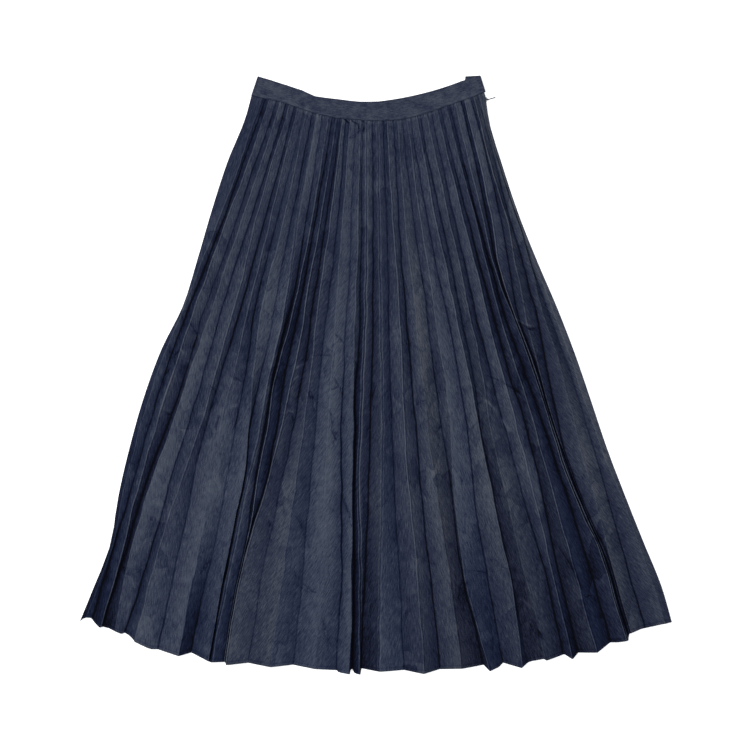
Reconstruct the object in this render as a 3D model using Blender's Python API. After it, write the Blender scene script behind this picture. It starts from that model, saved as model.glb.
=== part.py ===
"""Pleated denim maxi skirt, laid flat on its back with its front up.

Metres, +Z up. The centre front runs along Y, with the waistband at +Y and the hem at -Y.
+X is the wearer's left side, where the zip is. The fold lines fan out from one point above
the waistband, so a place on the cloth is a radius from that point and an angle from the
centre front, positive towards the wearer's left.
"""
import math
from collections import namedtuple

import bmesh
import bpy
import numpy as np

# The cloth and how its layers lie on each other
CLOTH = 0.0012          # thickness of the skirt cloth
LAYER_GAP = 0.0004      # air between the layers at a seam
SEAM_GAP = 0.0003       # air between two pieces that are sewn edge to edge
NEST_DROP = 0.0033      # the back's pleats lie this much lower than the front's over them
BACK_RISE_SHARE = 0.25  # but each rises by at least this share of the front's pleat
BACK_FOOT = (0.20, 0.60)  # least and most of a face that lies flat on the ground
BACK_LEAST_CLIMB = 0.0001  # keeps a level face from dividing by nothing
BACK_HEM_SHORT = 0.002  # the back's hem lies this far inside the front's
GROUND_SNAP = 1e-7      # heights this near the ground are put on it
BACK_MIDDLE = CLOTH / 2
FRONT_MIDDLE = CLOTH + LAYER_GAP + CLOTH / 2

# The fan, and the levels of the fold table: radii from the fan's centre
FAN_CENTRE = (-0.00586, 1.02404)
SEAM_LEVEL, HEM_LEVEL = 0.612, 1.502
FOLD_LEVELS = (SEAM_LEVEL, 0.64, 0.80, 0.96, 1.04, 1.20, 1.36, HEM_LEVEL)
LIFT_LEVELS = (SEAM_LEVEL, 0.66, 1.06, HEM_LEVEL)
ROW_LEVELS = (SEAM_LEVEL, 0.625, 0.68, 0.76, 0.85, 0.94, 1.02, 1.10, 1.20, 1.30, 1.40, HEM_LEVEL)
SEAM_LIFT_SHARE = 0.4   # the waistband seam presses the pleats down to this share
NARROWEST_FACE = 0.0024
SPREAD_PASSES = 400     # passes that push folds apart to the narrowest face
STEEPEST_FACE = 1.5     # rise over run
ROUND_SHARE = 0.3       # share of the narrower face that the rounding of a fold takes
ROUND_MOST = 0.0025

# One row for each fold from the wearer's right side seam to the left: a side seam, then a
# crest, a valley, a crest and so on. Degrees at each level, then millimetres above the layer
# below at the waist, the knee and the hem.
Fold = namedtuple("Fold", "seam waist hip thigh knee calf ankle hem lift_waist lift_knee lift_hem")
FOLDS = [Fold(*row) for row in (
    (-18.35, -18.20, -18.60, -18.25, -18.85, -18.75, -17.90, -18.20, 0.0, 0.0, 0.0),
    (-16.90, -17.00, -17.50, -18.10, -18.50, -18.40, -17.78, -18.00, 4.0, 5.0, 4.0),
    (-16.35, -16.50, -17.00, -17.80, -17.95, -17.85, -17.65, -17.60, 0.0, 0.5, 0.0),
    (-15.75, -15.85, -16.65, -17.20, -17.30, -17.35, -17.00, -16.93, 4.0, 6.0, 8.0),
    (-14.70, -14.85, -15.60, -16.30, -16.30, -16.70, -16.78, -16.80, 1.0, 0.5, 1.0),
    (-14.05, -14.20, -15.00, -15.60, -15.90, -16.35, -16.45, -16.00, 4.0, 7.0, 8.0),
    (-13.20, -13.30, -14.10, -14.65, -14.75, -15.10, -15.20, -15.42, 0.5, 1.0, 0.5),
    (-12.65, -12.85, -13.50, -13.60, -13.75, -14.25, -14.70, -14.70, 4.0, 7.0, 8.0),
    (-11.90, -12.00, -12.50, -12.95, -13.25, -13.55, -13.30, -13.20, 0.5, 1.0, 4.0),
    (-11.30, -11.40, -11.90, -12.15, -12.20, -12.15, -12.00, -11.90, 4.0, 8.0, 10.0),
    (-10.35, -10.40, -11.15, -11.50, -11.20, -11.10, -11.10, -11.18, 1.0, 1.0, 1.0),
    (-9.90, -10.00, -10.35, -10.90, -10.50, -9.82, -10.00, -10.05, 4.0, 8.0, 10.0),
    (-9.00, -9.10, -9.55, -9.70, -9.85, -9.70, -9.92, -9.96, 1.0, 0.0, 0.0),
    (-8.35, -8.40, -8.77, -8.67, -9.07, -9.42, -9.70, -9.87, 4.0, 7.0, 7.0),
    (-7.50, -7.55, -7.80, -8.35, -8.78, -8.95, -9.12, -9.15, 1.0, 0.0, 2.0),
    (-6.60, -6.67, -7.13, -8.00, -8.60, -8.80, -9.06, -9.10, 4.5, 8.0, 4.0),
    (-6.00, -6.07, -6.80, -7.43, -7.80, -8.10, -9.00, -9.05, 0.0, 0.0, 2.0),
    (-5.40, -5.50, -6.20, -6.80, -7.13, -7.93, -8.94, -8.97, 4.5, 8.0, 10.0),
    (-4.75, -4.83, -5.57, -6.03, -6.30, -6.87, -7.53, -7.62, 0.0, 2.0, 4.0),
    (-4.40, -4.53, -5.03, -5.47, -5.57, -5.87, -6.10, -6.20, 4.5, 8.0, 9.0),
    (-3.95, -4.00, -4.13, -4.57, -4.67, -4.70, -4.73, -4.88, 1.0, 2.0, 1.0),
    (-3.25, -3.33, -3.57, -3.60, -3.67, -3.60, -3.30, -3.53, 4.0, 6.0, 6.0),
    (-2.60, -2.60, -2.47, -2.57, -2.60, -2.37, -2.07, -2.18, 1.0, 2.0, 1.5),
    (-1.80, -1.78, -1.67, -1.73, -1.70, -1.53, -1.43, -1.40, 4.0, 8.0, 11.0),
    (-1.40, -1.40, -1.27, -1.20, -1.45, -1.37, -1.23, -1.22, 0.0, 0.0, 0.0),
    (-0.85, -0.80, -0.70, -0.73, -0.90, -1.07, -0.80, -0.78, 4.0, 6.0, 6.0),
    (0.00, 0.00, 0.05, 0.03, -0.08, -0.30, -0.55, -0.66, 0.0, 0.0, 0.0),
    (0.75, 0.77, 0.77, 0.80, 0.83, 0.73, 0.53, 0.44, 4.0, 7.0, 9.0),
    (1.50, 1.50, 1.63, 1.60, 1.62, 1.63, 1.83, 1.90, 1.0, 2.0, 3.0),
    (2.10, 2.15, 2.43, 2.67, 2.60, 2.73, 3.03, 3.13, 4.0, 7.0, 9.0),
    (3.05, 3.07, 3.13, 3.40, 3.50, 3.67, 3.93, 4.10, 0.0, 1.0, 1.0),
    (3.70, 3.75, 3.87, 4.27, 4.47, 4.83, 5.23, 5.45, 3.5, 6.0, 8.0),
    (4.40, 4.43, 4.90, 5.43, 5.50, 5.90, 6.10, 6.78, 1.0, 1.0, 1.0),
    (5.00, 5.20, 5.70, 6.20, 6.43, 6.15, 6.27, 7.08, 4.0, 7.0, 9.0),
    (5.70, 5.77, 6.57, 7.40, 7.63, 7.67, 7.77, 8.00, 1.0, 1.0, 1.0),
    (6.60, 6.70, 7.47, 8.17, 8.53, 8.90, 9.27, 9.10, 4.0, 8.0, 10.0),
    (7.15, 7.23, 8.13, 8.73, 8.97, 9.03, 9.42, 9.52, 0.5, 1.0, 1.0),
    (8.10, 8.25, 9.03, 9.57, 9.70, 9.83, 10.23, 10.53, 4.0, 6.0, 6.0),
    (8.85, 8.93, 9.67, 10.17, 10.47, 11.00, 11.63, 11.70, 1.0, 2.0, 2.0),
    (9.75, 9.87, 10.67, 11.20, 11.47, 11.90, 12.10, 12.18, 4.0, 8.0, 9.0),
    (10.35, 10.43, 11.20, 11.80, 12.03, 12.58, 12.50, 12.62, 0.5, 1.0, 1.0),
    (11.25, 11.33, 12.00, 12.33, 12.73, 13.27, 13.53, 13.70, 4.5, 8.0, 9.0),
    (11.80, 11.87, 12.27, 12.90, 13.37, 14.10, 14.53, 14.67, 0.0, 0.0, 0.0),
    (12.60, 12.63, 12.87, 13.60, 14.10, 14.55, 15.55, 15.62, 4.5, 8.0, 9.0),
    (13.50, 13.50, 13.33, 13.66, 14.16, 14.62, 15.61, 15.70, 0.0, 5.0, 6.0),
    (14.10, 14.07, 13.77, 13.73, 14.25, 14.70, 15.68, 15.77, 4.5, 8.0, 9.0),
    (15.05, 15.00, 14.80, 14.05, 14.50, 14.95, 15.80, 15.87, 1.0, 0.0, 0.0),
    (15.60, 15.50, 15.47, 14.73, 14.72, 15.00, 15.87, 15.90, 4.5, 7.0, 3.0),
    (16.40, 16.15, 15.87, 15.77, 15.43, 15.10, 15.95, 15.93, 0.5, 1.0, 3.0),
    (16.85, 16.35, 16.60, 16.40, 16.53, 16.20, 16.10, 15.98, 3.5, 6.0, 8.0),
    (17.05, 16.45, 16.70, 17.00, 17.17, 17.17, 17.07, 16.97, 1.0, 1.0, 1.0),
    (17.25, 16.55, 16.75, 17.40, 17.60, 17.75, 18.20, 18.20, 3.0, 5.0, 6.0),
    (17.45, 16.68, 16.80, 17.73, 18.00, 18.10, 18.47, 18.55, 0.0, 0.0, 0.0),
)]

# The hem swings out at each crest and in at each valley: radii by angle
Hem = namedtuple("Hem", "degrees crest valley")
HEM = [Hem(*row) for row in (
    (-18.2, 1.490, 1.486),
    (-16.0, 1.494, 1.490),
    (-14.0, 1.502, 1.492),
    (-10.0, 1.506, 1.498),
    (-5.0, 1.500, 1.495),
    (0.0, 1.503, 1.495),
    (5.0, 1.503, 1.499),
    (9.0, 1.511, 1.501),
    (13.0, 1.512, 1.503),
    (15.7, 1.506, 1.499),
    (18.5, 1.498, 1.496),
)]

# The waistband: radii by angle of its top edge, front and back, and of its lower edge. Past
# 15 degrees the closure's end stands up a little over the rest.
Band = namedtuple("Band", "degrees top_front top_back bottom")
BAND = [Band(*row) for row in (
    (-18.55, 0.5770, 0.5785, 0.6100),
    (-16.50, 0.5765, 0.5780, 0.6078),
    (-13.50, 0.5780, 0.5795, 0.6068),
    (-11.20, 0.5805, 0.5820, 0.6095),
    (-9.00, 0.5862, 0.5877, 0.6130),
    (-5.50, 0.5862, 0.5877, 0.6165),
    (-2.00, 0.5880, 0.5895, 0.6174),
    (1.00, 0.5873, 0.5888, 0.6186),
    (4.50, 0.5838, 0.5853, 0.6180),
    (8.20, 0.5798, 0.5813, 0.6122),
    (11.20, 0.5765, 0.5780, 0.6068),
    (14.40, 0.5727, 0.5742, 0.6031),
    (14.90, 0.5727, 0.5742, 0.6026),
    (15.20, 0.5690, 0.5668, 0.6023),
    (17.55, 0.5742, 0.5722, 0.5998),
)]
BAND_THICKNESS = 0.0024   # two layers of cloth, pressed
BAND_EDGE = 0.0006        # how far its edges are rounded in
BAND_STATIONS = np.arange(-17.5, 17.5, 2.5)   # degrees of its sections, besides the table's

# The zip in the wearer's left side seam
ZIP_LENGTH = 0.180
ZIP_TOP_RADIUS = 0.6114   # where the slider stands when the zip is closed
ZIP_BOTTOM_Z = 0.0006
SLIDER = (0.0018, 0.0070, 0.0044)     # out of the seam, along it, across it
EAR = (0.0026, 0.0022, 0.0007)        # the same, for each of the two ears of its bridge
EAR_SUNK = 0.0004                     # how deep an ear starts in the body
PIN_OUT = 0.0018                      # pin's axis from the slider's face
PIN_RADIUS, PIN_SIDES = 0.0005, 10
COIL_WIDTH, COIL_HEIGHT = 0.0010, 0.0018
COIL_STATIONS = 9
PULL_EYE_HOLE, PULL_EYE_RADIUS = 0.00085, 0.00145
PULL_EYE_HEIGHT = 0.0024
PULL_LENGTH = 0.0122
PULL_REST = 15.5                      # degrees from +X as it lies
# Along the pull tab: share of its length, half thickness and half height
PullStation = namedtuple("PullStation", "share half_thick half_high")
PULL_TAB = [PullStation(*row) for row in (
    (0.06, 0.00075, 0.00120),
    (0.30, 0.00045, 0.00170),
    (0.75, 0.00045, 0.00215),
    (0.93, 0.00070, 0.00215),
    (1.00, 0.00035, 0.00160),
)]

DENIM = ("denim", (0.030, 0.038, 0.058, 1.0), 0.92, 0.0)
DENIM_BAND = ("denim_band", (0.036, 0.044, 0.062, 1.0), 0.92, 0.0)
COIL_DARK = ("zip_coil", (0.015, 0.018, 0.026, 1.0), 0.55, 0.0)
ZIP_METAL = ("zip_metal", (0.060, 0.065, 0.075, 1.0), 0.42, 1.0)


def clear_scene():
    """Removes whatever the file holds."""
    for thing in list(bpy.data.objects):
        bpy.data.objects.remove(thing, do_unlink=True)


def finish(spec):
    """A Principled material from a name, a colour, a roughness and a metallic value."""
    name, colour, roughness, metallic = spec
    material = bpy.data.materials.get(name)
    if material is None:
        material = bpy.data.materials.new(name)
        material.use_nodes = True
        shader = material.node_tree.nodes["Principled BSDF"]
        shader.inputs["Base Color"].default_value = colour
        shader.inputs["Roughness"].default_value = roughness
        shader.inputs["Metallic"].default_value = metallic
        material.diffuse_color = colour
    return material


def add_object(name, vertices, faces, spec):
    """Makes a mesh object at the origin, in its own material."""
    mesh = bpy.data.meshes.new(name)
    mesh.from_pydata([tuple(v) for v in vertices], [], [tuple(f) for f in faces])
    mesh.validate()
    mesh.materials.append(finish(spec))
    thing = bpy.data.objects.new(name, mesh)
    bpy.context.scene.collection.objects.link(thing)
    return thing


def column(rows, name):
    """One named column of a table, as an array."""
    return np.array([getattr(row, name) for row in rows])


def by_angle(rows, name, degrees):
    """A named column of a table that is ordered by angle, at any angles."""
    return np.interp(degrees, column(rows, "degrees"), column(rows, name))


def along(levels, values, at):
    """Smooth curves through each row's values at the levels, read where asked.

    Each stretch is a cubic whose slopes at the levels are the mean slopes around them.
    """
    levels = np.asarray(levels)
    slopes = np.gradient(values, levels, axis=1)
    k = np.clip(np.searchsorted(levels, at, side="right") - 1, 0, len(levels) - 2)
    step = levels[k + 1] - levels[k]
    t = (at - levels[k]) / step
    start = (1 + 2 * t) * (1 - t) ** 2 * values[:, k] + t * (1 - t) ** 2 * step * slopes[:, k]
    end = t * t * (3 - 2 * t) * values[:, k + 1] + t * t * (t - 1) * step * slopes[:, k + 1]
    return start + end


def band_bottom(degrees):
    """Radius of the waistband's lower edge, on a smooth curve through the table's."""
    return along(column(BAND, "degrees"), column(BAND, "bottom")[None, :], np.ravel(degrees)).reshape(
        np.shape(degrees))


def radius_at(degrees, level, hem):
    """Radius of a place that is given by its angle and its level between seam and hem."""
    share = (level - SEAM_LEVEL) / (HEM_LEVEL - SEAM_LEVEL)
    seam = band_bottom(degrees) + SEAM_GAP
    return seam + share * (hem - seam)


def fold_lines():
    """Angle, height and radius of every fold on every row of the mesh, and the row levels.

    Rows run from the waistband to the hem. Folds that run together keep the narrowest face
    between them, and a crest is no higher than its faces can be steep.
    """
    rows = np.array(ROW_LEVELS)
    angles = np.array([fold[:len(FOLD_LEVELS)] for fold in FOLDS])
    degrees = along(FOLD_LEVELS, angles, rows).T
    lifts = np.array([(f.lift_waist * SEAM_LIFT_SHARE, f.lift_waist, f.lift_knee, f.lift_hem)
                      for f in FOLDS]) / 1000
    heights = np.clip(along(LIFT_LEVELS, lifts, rows).T, 0, None)
    is_crest = np.arange(len(FOLDS)) % 2 == 1
    hem = np.where(is_crest, by_angle(HEM, "crest", degrees), by_angle(HEM, "valley", degrees))
    radii = radius_at(degrees, rows[:, None], hem)
    across = np.radians(degrees) * radii
    for _ in range(SPREAD_PASSES):
        short = np.clip(NARROWEST_FACE - np.diff(across, axis=1), 0, None) / 2
        across[:, 1:-2] -= short[:, 1:-1]
        across[:, 2:-1] += short[:, 1:-1]
        across[:, 1] += short[:, 0]
        across[:, -2] -= short[:, -1]
    room = np.diff(across, axis=1) * STEEPEST_FACE
    crests = np.flatnonzero(is_crest)
    most = np.minimum(heights[:, crests - 1] + room[:, crests - 1],
                      heights[:, crests + 1] + room[:, crests])
    heights[:, crests] = np.minimum(heights[:, crests], most)
    return np.degrees(across / radii), heights, radii


def between(lines, left, share):
    """Places on the faces right of the given folds, at a share of the way to the next."""
    return lines[:, left] * (1 - share) + lines[:, left + 1] * share


def rounded_section(across, heights, radii):
    """The front's section: each fold becomes two points, so that its corner is rounded."""
    gaps = np.diff(across, axis=1)
    reach = np.minimum(ROUND_SHARE * np.minimum(gaps[:, :-1], gaps[:, 1:]), ROUND_MOST)
    folds = np.arange(1, across.shape[1] - 1)
    rounded = []
    for lines in (across, heights, radii):
        before = between(lines, folds - 1, 1 - reach / gaps[:, :-1])
        after = between(lines, folds, reach / gaps[:, 1:])
        pairs = np.stack([before, after], axis=2).reshape(len(lines), -1)
        rounded.append(np.hstack([lines[:, :1], pairs, lines[:, -1:]]))
    return rounded


def pressed_section(across, heights, radii):
    """The back's section: flat lands on the ground, and a lower pleat under each crest."""
    crests = np.arange(1, across.shape[1], 2)
    sections = []
    tops = heights[:, crests]
    rise = np.maximum(tops - NEST_DROP, tops * BACK_RISE_SHARE)
    feet = []
    for valleys in (crests - 1, crests + 1):
        climb = np.maximum(tops - heights[:, valleys], BACK_LEAST_CLIMB)
        feet.append(np.clip((NEST_DROP - heights[:, valleys]) / climb, *BACK_FOOT))
    ground = np.zeros_like(rise)
    for lines in (across, radii):
        left = between(lines, crests - 1, feet[0])
        right = between(lines, crests, 1 - feet[1])
        trios = np.stack([left, lines[:, crests], right], axis=2).reshape(len(lines), -1)
        sections.append(np.hstack([lines[:, :1], trios, lines[:, -1:]]))
    trios = np.stack([ground, rise, ground], axis=2).reshape(len(rise), -1)
    level = np.zeros((len(rise), 1))
    return sections[0], np.hstack([level, trios, level]), sections[1]


def offset_section(across, heights, distance):
    """Moves a section by a distance square to itself, so that a wall keeps its thickness."""
    run, climb = np.diff(across, axis=1), np.diff(heights, axis=1)
    length = np.hypot(run, climb)
    normal = np.stack([-climb / length, run / length])
    padded = np.concatenate([normal[:, :, :1], normal, normal[:, :, -1:]], axis=2)
    corner = padded[:, :, :-1] + padded[:, :, 1:]
    corner /= np.hypot(corner[0], corner[1])
    reach = distance / np.sum(corner * padded[:, :, 1:], axis=0)
    return across + corner[0] * reach, heights + corner[1] * reach


def fan_points(across, heights, radii):
    """Points in space from the distance along the arc, the height and the radius."""
    angle = across / radii
    x = FAN_CENTRE[0] + radii * np.sin(angle)
    y = FAN_CENTRE[1] - radii * np.cos(angle)
    return np.stack([x, y, heights], axis=-1)


def wall(name, upper, lower, spec):
    """A closed wall between two grids of points, with rows from waist to hem."""
    rows, columns = upper.shape[:2]
    top = np.arange(rows * columns).reshape(rows, columns)
    bottom = top + rows * columns
    faces = []
    for i in range(rows - 1):
        for j in range(columns - 1):
            faces.append((top[i, j], top[i + 1, j], top[i + 1, j + 1], top[i, j + 1]))
            faces.append((bottom[i, j], bottom[i, j + 1], bottom[i + 1, j + 1], bottom[i + 1, j]))
    for j in range(columns - 1):
        faces.append((top[0, j], top[0, j + 1], bottom[0, j + 1], bottom[0, j]))
        faces.append((top[-1, j + 1], top[-1, j], bottom[-1, j], bottom[-1, j + 1]))
    for i in range(rows - 1):
        faces.append((top[i + 1, 0], top[i, 0], bottom[i, 0], bottom[i + 1, 0]))
        faces.append((top[i, -1], top[i + 1, -1], bottom[i + 1, -1], bottom[i, -1]))
    points = np.vstack([upper.reshape(-1, 3), lower.reshape(-1, 3)])
    points[:, 2] = np.where(np.abs(points[:, 2]) < GROUND_SNAP, 0.0, points[:, 2])
    return add_object(name, points, faces, spec)


def panel(name, section, middle, spec):
    """One pleated panel as a wall of the cloth's thickness about its middle surface."""
    across, heights, radii = section
    sides = []
    for distance in (CLOTH / 2, -CLOTH / 2):
        moved_across, moved_heights = offset_section(across, heights, distance)
        sides.append(fan_points(moved_across, middle + moved_heights, radii))
    return wall(name, sides[0], sides[1], spec)


def front_panel(degrees, heights, radii):
    """The front, with its pleats standing up."""
    section = rounded_section(np.radians(degrees) * radii, heights, radii)
    return panel("front_panel", section, FRONT_MIDDLE, DENIM)


def back_panel(degrees, heights):
    """The back, under the front, its pleats pressed flat on what it lies on."""
    levels = np.array(ROW_LEVELS)[:, None]
    radii = radius_at(degrees, levels, by_angle(HEM, "valley", degrees) - BACK_HEM_SHORT)
    section = pressed_section(np.radians(degrees) * radii, heights, radii)
    return panel("back_panel", section, BACK_MIDDLE, DENIM)


def loft(name, rings, spec):
    """A closed solid through rings of points that all have the same count."""
    rings = np.asarray(rings)
    stations, around = rings.shape[:2]
    index = np.arange(stations * around).reshape(stations, around)
    faces = [tuple(index[0, ::-1]), tuple(index[-1])]
    for i in range(stations - 1):
        for j in range(around):
            k = (j + 1) % around
            faces.append((index[i, j], index[i, k], index[i + 1, k], index[i + 1, j]))
    thing = add_object(name, rings.reshape(-1, 3), faces, spec)
    shell = bmesh.new()
    shell.from_mesh(thing.data)
    bmesh.ops.recalc_face_normals(shell, faces=shell.faces)
    shell.to_mesh(thing.data)
    shell.free()
    return thing


def waistband(name, top_column, ground):
    """Half of the waistband: a flat strip that follows the arc, with rounded edges."""
    rings = []
    low, high = ground, ground + BAND_THICKNESS
    for degrees in np.union1d(column(BAND, "degrees"), BAND_STATIONS):
        top, bottom = float(by_angle(BAND, top_column, degrees)), float(band_bottom(degrees))
        profile = ((bottom, low + BAND_EDGE), (bottom, high - BAND_EDGE),
                   (bottom - BAND_EDGE, high), (top + BAND_EDGE, high),
                   (top, high - BAND_EDGE), (top, low + BAND_EDGE),
                   (top + BAND_EDGE, low), (bottom - BAND_EDGE, low))
        radii, heights = np.array(profile).T
        rings.append(fan_points(math.radians(degrees) * radii, heights, radii))
    return loft(name, rings, DENIM_BAND)


def side_seam(degrees, radii):
    """The wearer's left outline as points from waistband to hem."""
    return fan_points(np.radians(degrees[:, -1]) * radii[:, -1], 0 * radii[:, -1], radii[:, -1])


def box(name, low, high, spec):
    """A closed box between two corners."""
    thing = add_object(name, [], [], spec)
    shell = bmesh.new()
    bmesh.ops.create_cube(shell, size=1.0)
    for vertex in shell.verts:
        for k in range(3):
            vertex.co[k] = low[k] if vertex.co[k] < 0 else high[k]
    shell.to_mesh(thing.data)
    shell.free()
    return thing


def cylinder(name, centre, radius, height, spec, segments=16):
    """A closed upright cylinder about its centre."""
    thing = add_object(name, [], [], spec)
    shell = bmesh.new()
    bmesh.ops.create_cone(shell, cap_ends=True, segments=segments, radius1=radius,
                          radius2=radius, depth=height)
    bmesh.ops.translate(shell, verts=shell.verts, vec=centre)
    shell.to_mesh(thing.data)
    shell.free()
    return thing


def combine(target, tool, operation):
    """Joins a hidden helper to a piece, or cuts it out, with an exact Boolean."""
    modifier = target.modifiers.new(tool.name, "BOOLEAN")
    modifier.operation = operation
    modifier.solver = "EXACT"
    modifier.object = tool
    tool.hide_render = True
    tool.display_type = "WIRE"


def slider_frame(seam):
    """Where the slider stands: its face's x, its centre's y and z, and the pin's centre."""
    from_fan = np.hypot(seam[:, 0] - FAN_CENTRE[0], seam[:, 1] - FAN_CENTRE[1])
    y = float(np.interp(ZIP_TOP_RADIUS, from_fan, seam[:, 1]))
    near = seam[:, 1] > y - SLIDER[1]
    edge = float(np.interp(y - SLIDER[1] / 2, seam[::-1, 1], seam[::-1, 0]))
    inner = max(edge, float(seam[near, 0].max())) + LAYER_GAP
    z = ZIP_BOTTOM_Z + SLIDER[2] / 2
    return inner, y, z, (inner + SLIDER[0] + PIN_OUT, y, z)


def zip_slider(inner, y, z, pin):
    """The slider's body with a bridge: two ears and a pin between them."""
    deep, long, high = SLIDER
    outer = inner + deep
    body = box("zip_slider", (inner, y - long / 2, z - high / 2), (outer, y + long / 2, z + high / 2),
               ZIP_METAL)
    ear_out, ear_long, ear_high = EAR
    for side, name in ((-1, "lower_ear"), (1, "upper_ear")):
        far = z + side * high / 2
        near = far - side * ear_high
        ear = box(name, (outer - EAR_SUNK, y - ear_long / 2, min(near, far)),
                  (outer + ear_out, y + ear_long / 2, max(near, far)), ZIP_METAL)
        combine(body, ear, "UNION")
    pin_bar = cylinder("bridge_pin", pin, PIN_RADIUS, high - ear_high, ZIP_METAL, PIN_SIDES)
    combine(body, pin_bar, "UNION")
    return body


def zip_pull(pin):
    """The pull tab, with an eye round the pin and its origin on the hinge's axis."""
    pull = cylinder("zip_pull", (0, 0, 0), PULL_EYE_RADIUS, PULL_EYE_HEIGHT, ZIP_METAL, 16)
    rings = []
    for station in PULL_TAB:
        x = station.share * PULL_LENGTH
        thick, high = station.half_thick, station.half_high
        rings.append([(x, -thick, -high), (x, thick, -high), (x, thick, high), (x, -thick, high)])
    tab = loft("pull_tab_form", rings, ZIP_METAL)
    hole = cylinder("pull_eye_hole", (0, 0, 0), PULL_EYE_HOLE, 3 * PULL_EYE_HEIGHT, ZIP_METAL, 16)
    combine(pull, tab, "UNION")
    combine(pull, hole, "DIFFERENCE")
    for thing in (pull, tab, hole):
        thing.location = pin
        thing.rotation_euler = (0, 0, math.radians(PULL_REST))
    return pull


def zip_coil(seam, slider_y):
    """The closed teeth of the zip, a thin ridge along the side seam under the slider."""
    top = slider_y - SLIDER[1] / 2 - SEAM_GAP
    y = np.linspace(top, top - ZIP_LENGTH, COIL_STATIONS)
    x = np.interp(-y, -seam[:, 1], seam[:, 0]) + LAYER_GAP
    z = ZIP_BOTTOM_Z
    rings = [[(a, b, z), (a + COIL_WIDTH, b, z), (a + COIL_WIDTH, b, z + COIL_HEIGHT),
              (a, b, z + COIL_HEIGHT)] for a, b in zip(x, y)]
    return loft("zip_coil", rings, COIL_DARK)


def main():
    """Builds the skirt piece by piece."""
    clear_scene()
    degrees, heights, radii = fold_lines()
    front_panel(degrees, heights, radii)
    back_panel(degrees, heights)
    waistband("waistband_front", "top_front", BAND_THICKNESS + LAYER_GAP)
    waistband("waistband_back", "top_back", 0.0)
    seam = side_seam(degrees, radii)
    inner, y, z, pin = slider_frame(seam)
    zip_slider(inner, y, z, pin)
    zip_pull(pin)
    zip_coil(seam, y)


main()
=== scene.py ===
"""Pleated denim maxi skirt, laid flat on its back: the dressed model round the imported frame.

Metres, +Z up, the centre front along Y with the waistband at +Y, +X the wearer's left. The
fold lines fan out from one point above the waistband, so a place on the cloth is a radius from
that point and an angle from the centre front. Each panel is one height field on that fan.
"""
import logging
import math
from dataclasses import dataclass, field
from enum import Enum
from typing import NamedTuple

import bpy
import numpy as np
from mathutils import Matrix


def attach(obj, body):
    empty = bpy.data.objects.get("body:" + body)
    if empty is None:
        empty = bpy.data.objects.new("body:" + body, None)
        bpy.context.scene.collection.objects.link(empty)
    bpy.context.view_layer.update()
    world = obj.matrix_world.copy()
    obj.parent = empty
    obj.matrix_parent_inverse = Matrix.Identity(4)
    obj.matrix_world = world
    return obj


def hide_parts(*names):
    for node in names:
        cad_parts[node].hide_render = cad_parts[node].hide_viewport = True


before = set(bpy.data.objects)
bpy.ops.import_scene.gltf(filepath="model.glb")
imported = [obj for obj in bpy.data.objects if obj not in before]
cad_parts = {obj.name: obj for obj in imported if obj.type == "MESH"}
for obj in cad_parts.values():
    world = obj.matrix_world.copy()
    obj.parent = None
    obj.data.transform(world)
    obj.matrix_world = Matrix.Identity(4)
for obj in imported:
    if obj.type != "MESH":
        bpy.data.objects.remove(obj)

LOG = logging.getLogger("skirt")
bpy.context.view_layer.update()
SKIRT_BODY, PULL_BODY = "skirt", "zip_pull_tab"
MM = 0.001
MATH = "ShaderNodeMath"

# The fan, and the levels at which the fold lines were read from the photograph
FAN_CENTRE = (-0.00586, 1.02404)
SEAM_LEVEL, HEM_LEVEL = 0.612, 1.502
READ_RADII = (SEAM_LEVEL, 0.64, 0.72, 0.80, 0.88, 0.96, 1.04, 1.12, 1.20, 1.28, 1.36, 1.44, 1.50)
LIFT_RADII = (SEAM_LEVEL, 0.66, 1.06, HEM_LEVEL)
SEAM_LIFT_SHARE, WAIST_LIFT_SHARE = 0.25, 0.6  # of a fold's upper height, at the first two radii
TONE_RADII = (0.70, 0.96, 1.22, 1.47)
TONE_MIDDLE, TONE_SPREAD = 0.5, 0.08    # the tone of a face marked five, and what each mark adds

# Which way the grain runs at angles from the centre front, in degrees from Y towards +X, and
# the number of the read radius at which these were read
GRAIN_PLACES, GRAIN_TURNS = (-18, -12, -7, -1, 4, 12, 18), (4, 10, 32, 26, -14, -24, -46)
GRAIN_LEVEL = 9

# How the layers lie on each other
CLOTH = 1.2 * MM
FRONT_TOP = 2.8 * MM        # top of the front's cloth in its valleys
FRONT_WALL = 0.9 * MM
NEST_DROP = 3.3 * MM        # the back's pleats lie this much lower than the front's over them
PRESS_SHARE, PRESS_FOOT = 0.30, 1.2 * MM
BAND_TUCK = 2.5 * MM        # how far the pleated cloth runs up between the waistband's layers

# Metres between rows of points at shares of the way to the hem: close where the creases are
ROW_GAPS = ((0.0, 0.0019), (0.04, 0.0024), (0.10, 0.0051), (0.34, 0.0056), (0.40, 0.0024), (0.54, 0.0024),
            (0.62, 0.0045), (1.0, 0.0051))


class Fold(NamedTuple):
    """A fold line: how high it stands, how it looks, and where it runs.

    Attributes:
        name: a letter for a crest, v and a number for a valley.
        degrees: its angles from the centre front at the read radii.
        lift: millimetres above the layer below, near the waist, in the middle and at the hem.
        tone: how light the face to its right looks, out of ten, at the tone radii: painted light and shade
            of the face, with its wear.
        line: how plain its own line is, worn with a painted highlight on a crest and painted shade in a
            valley, likewise.
        piped: whether it is a crest that is pressed double.
        dull: how grey the face to its right is painted near the waist and near the hem, out of ten: a
            painted sheen.
    """

    name: str
    degrees: tuple[float, ...]
    lift: tuple[float, float, float]
    tone: tuple[float, float, float, float]
    line: tuple[float, float, float, float]
    piped: bool = False
    dull: tuple[float, float] = (3, 1)


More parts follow.
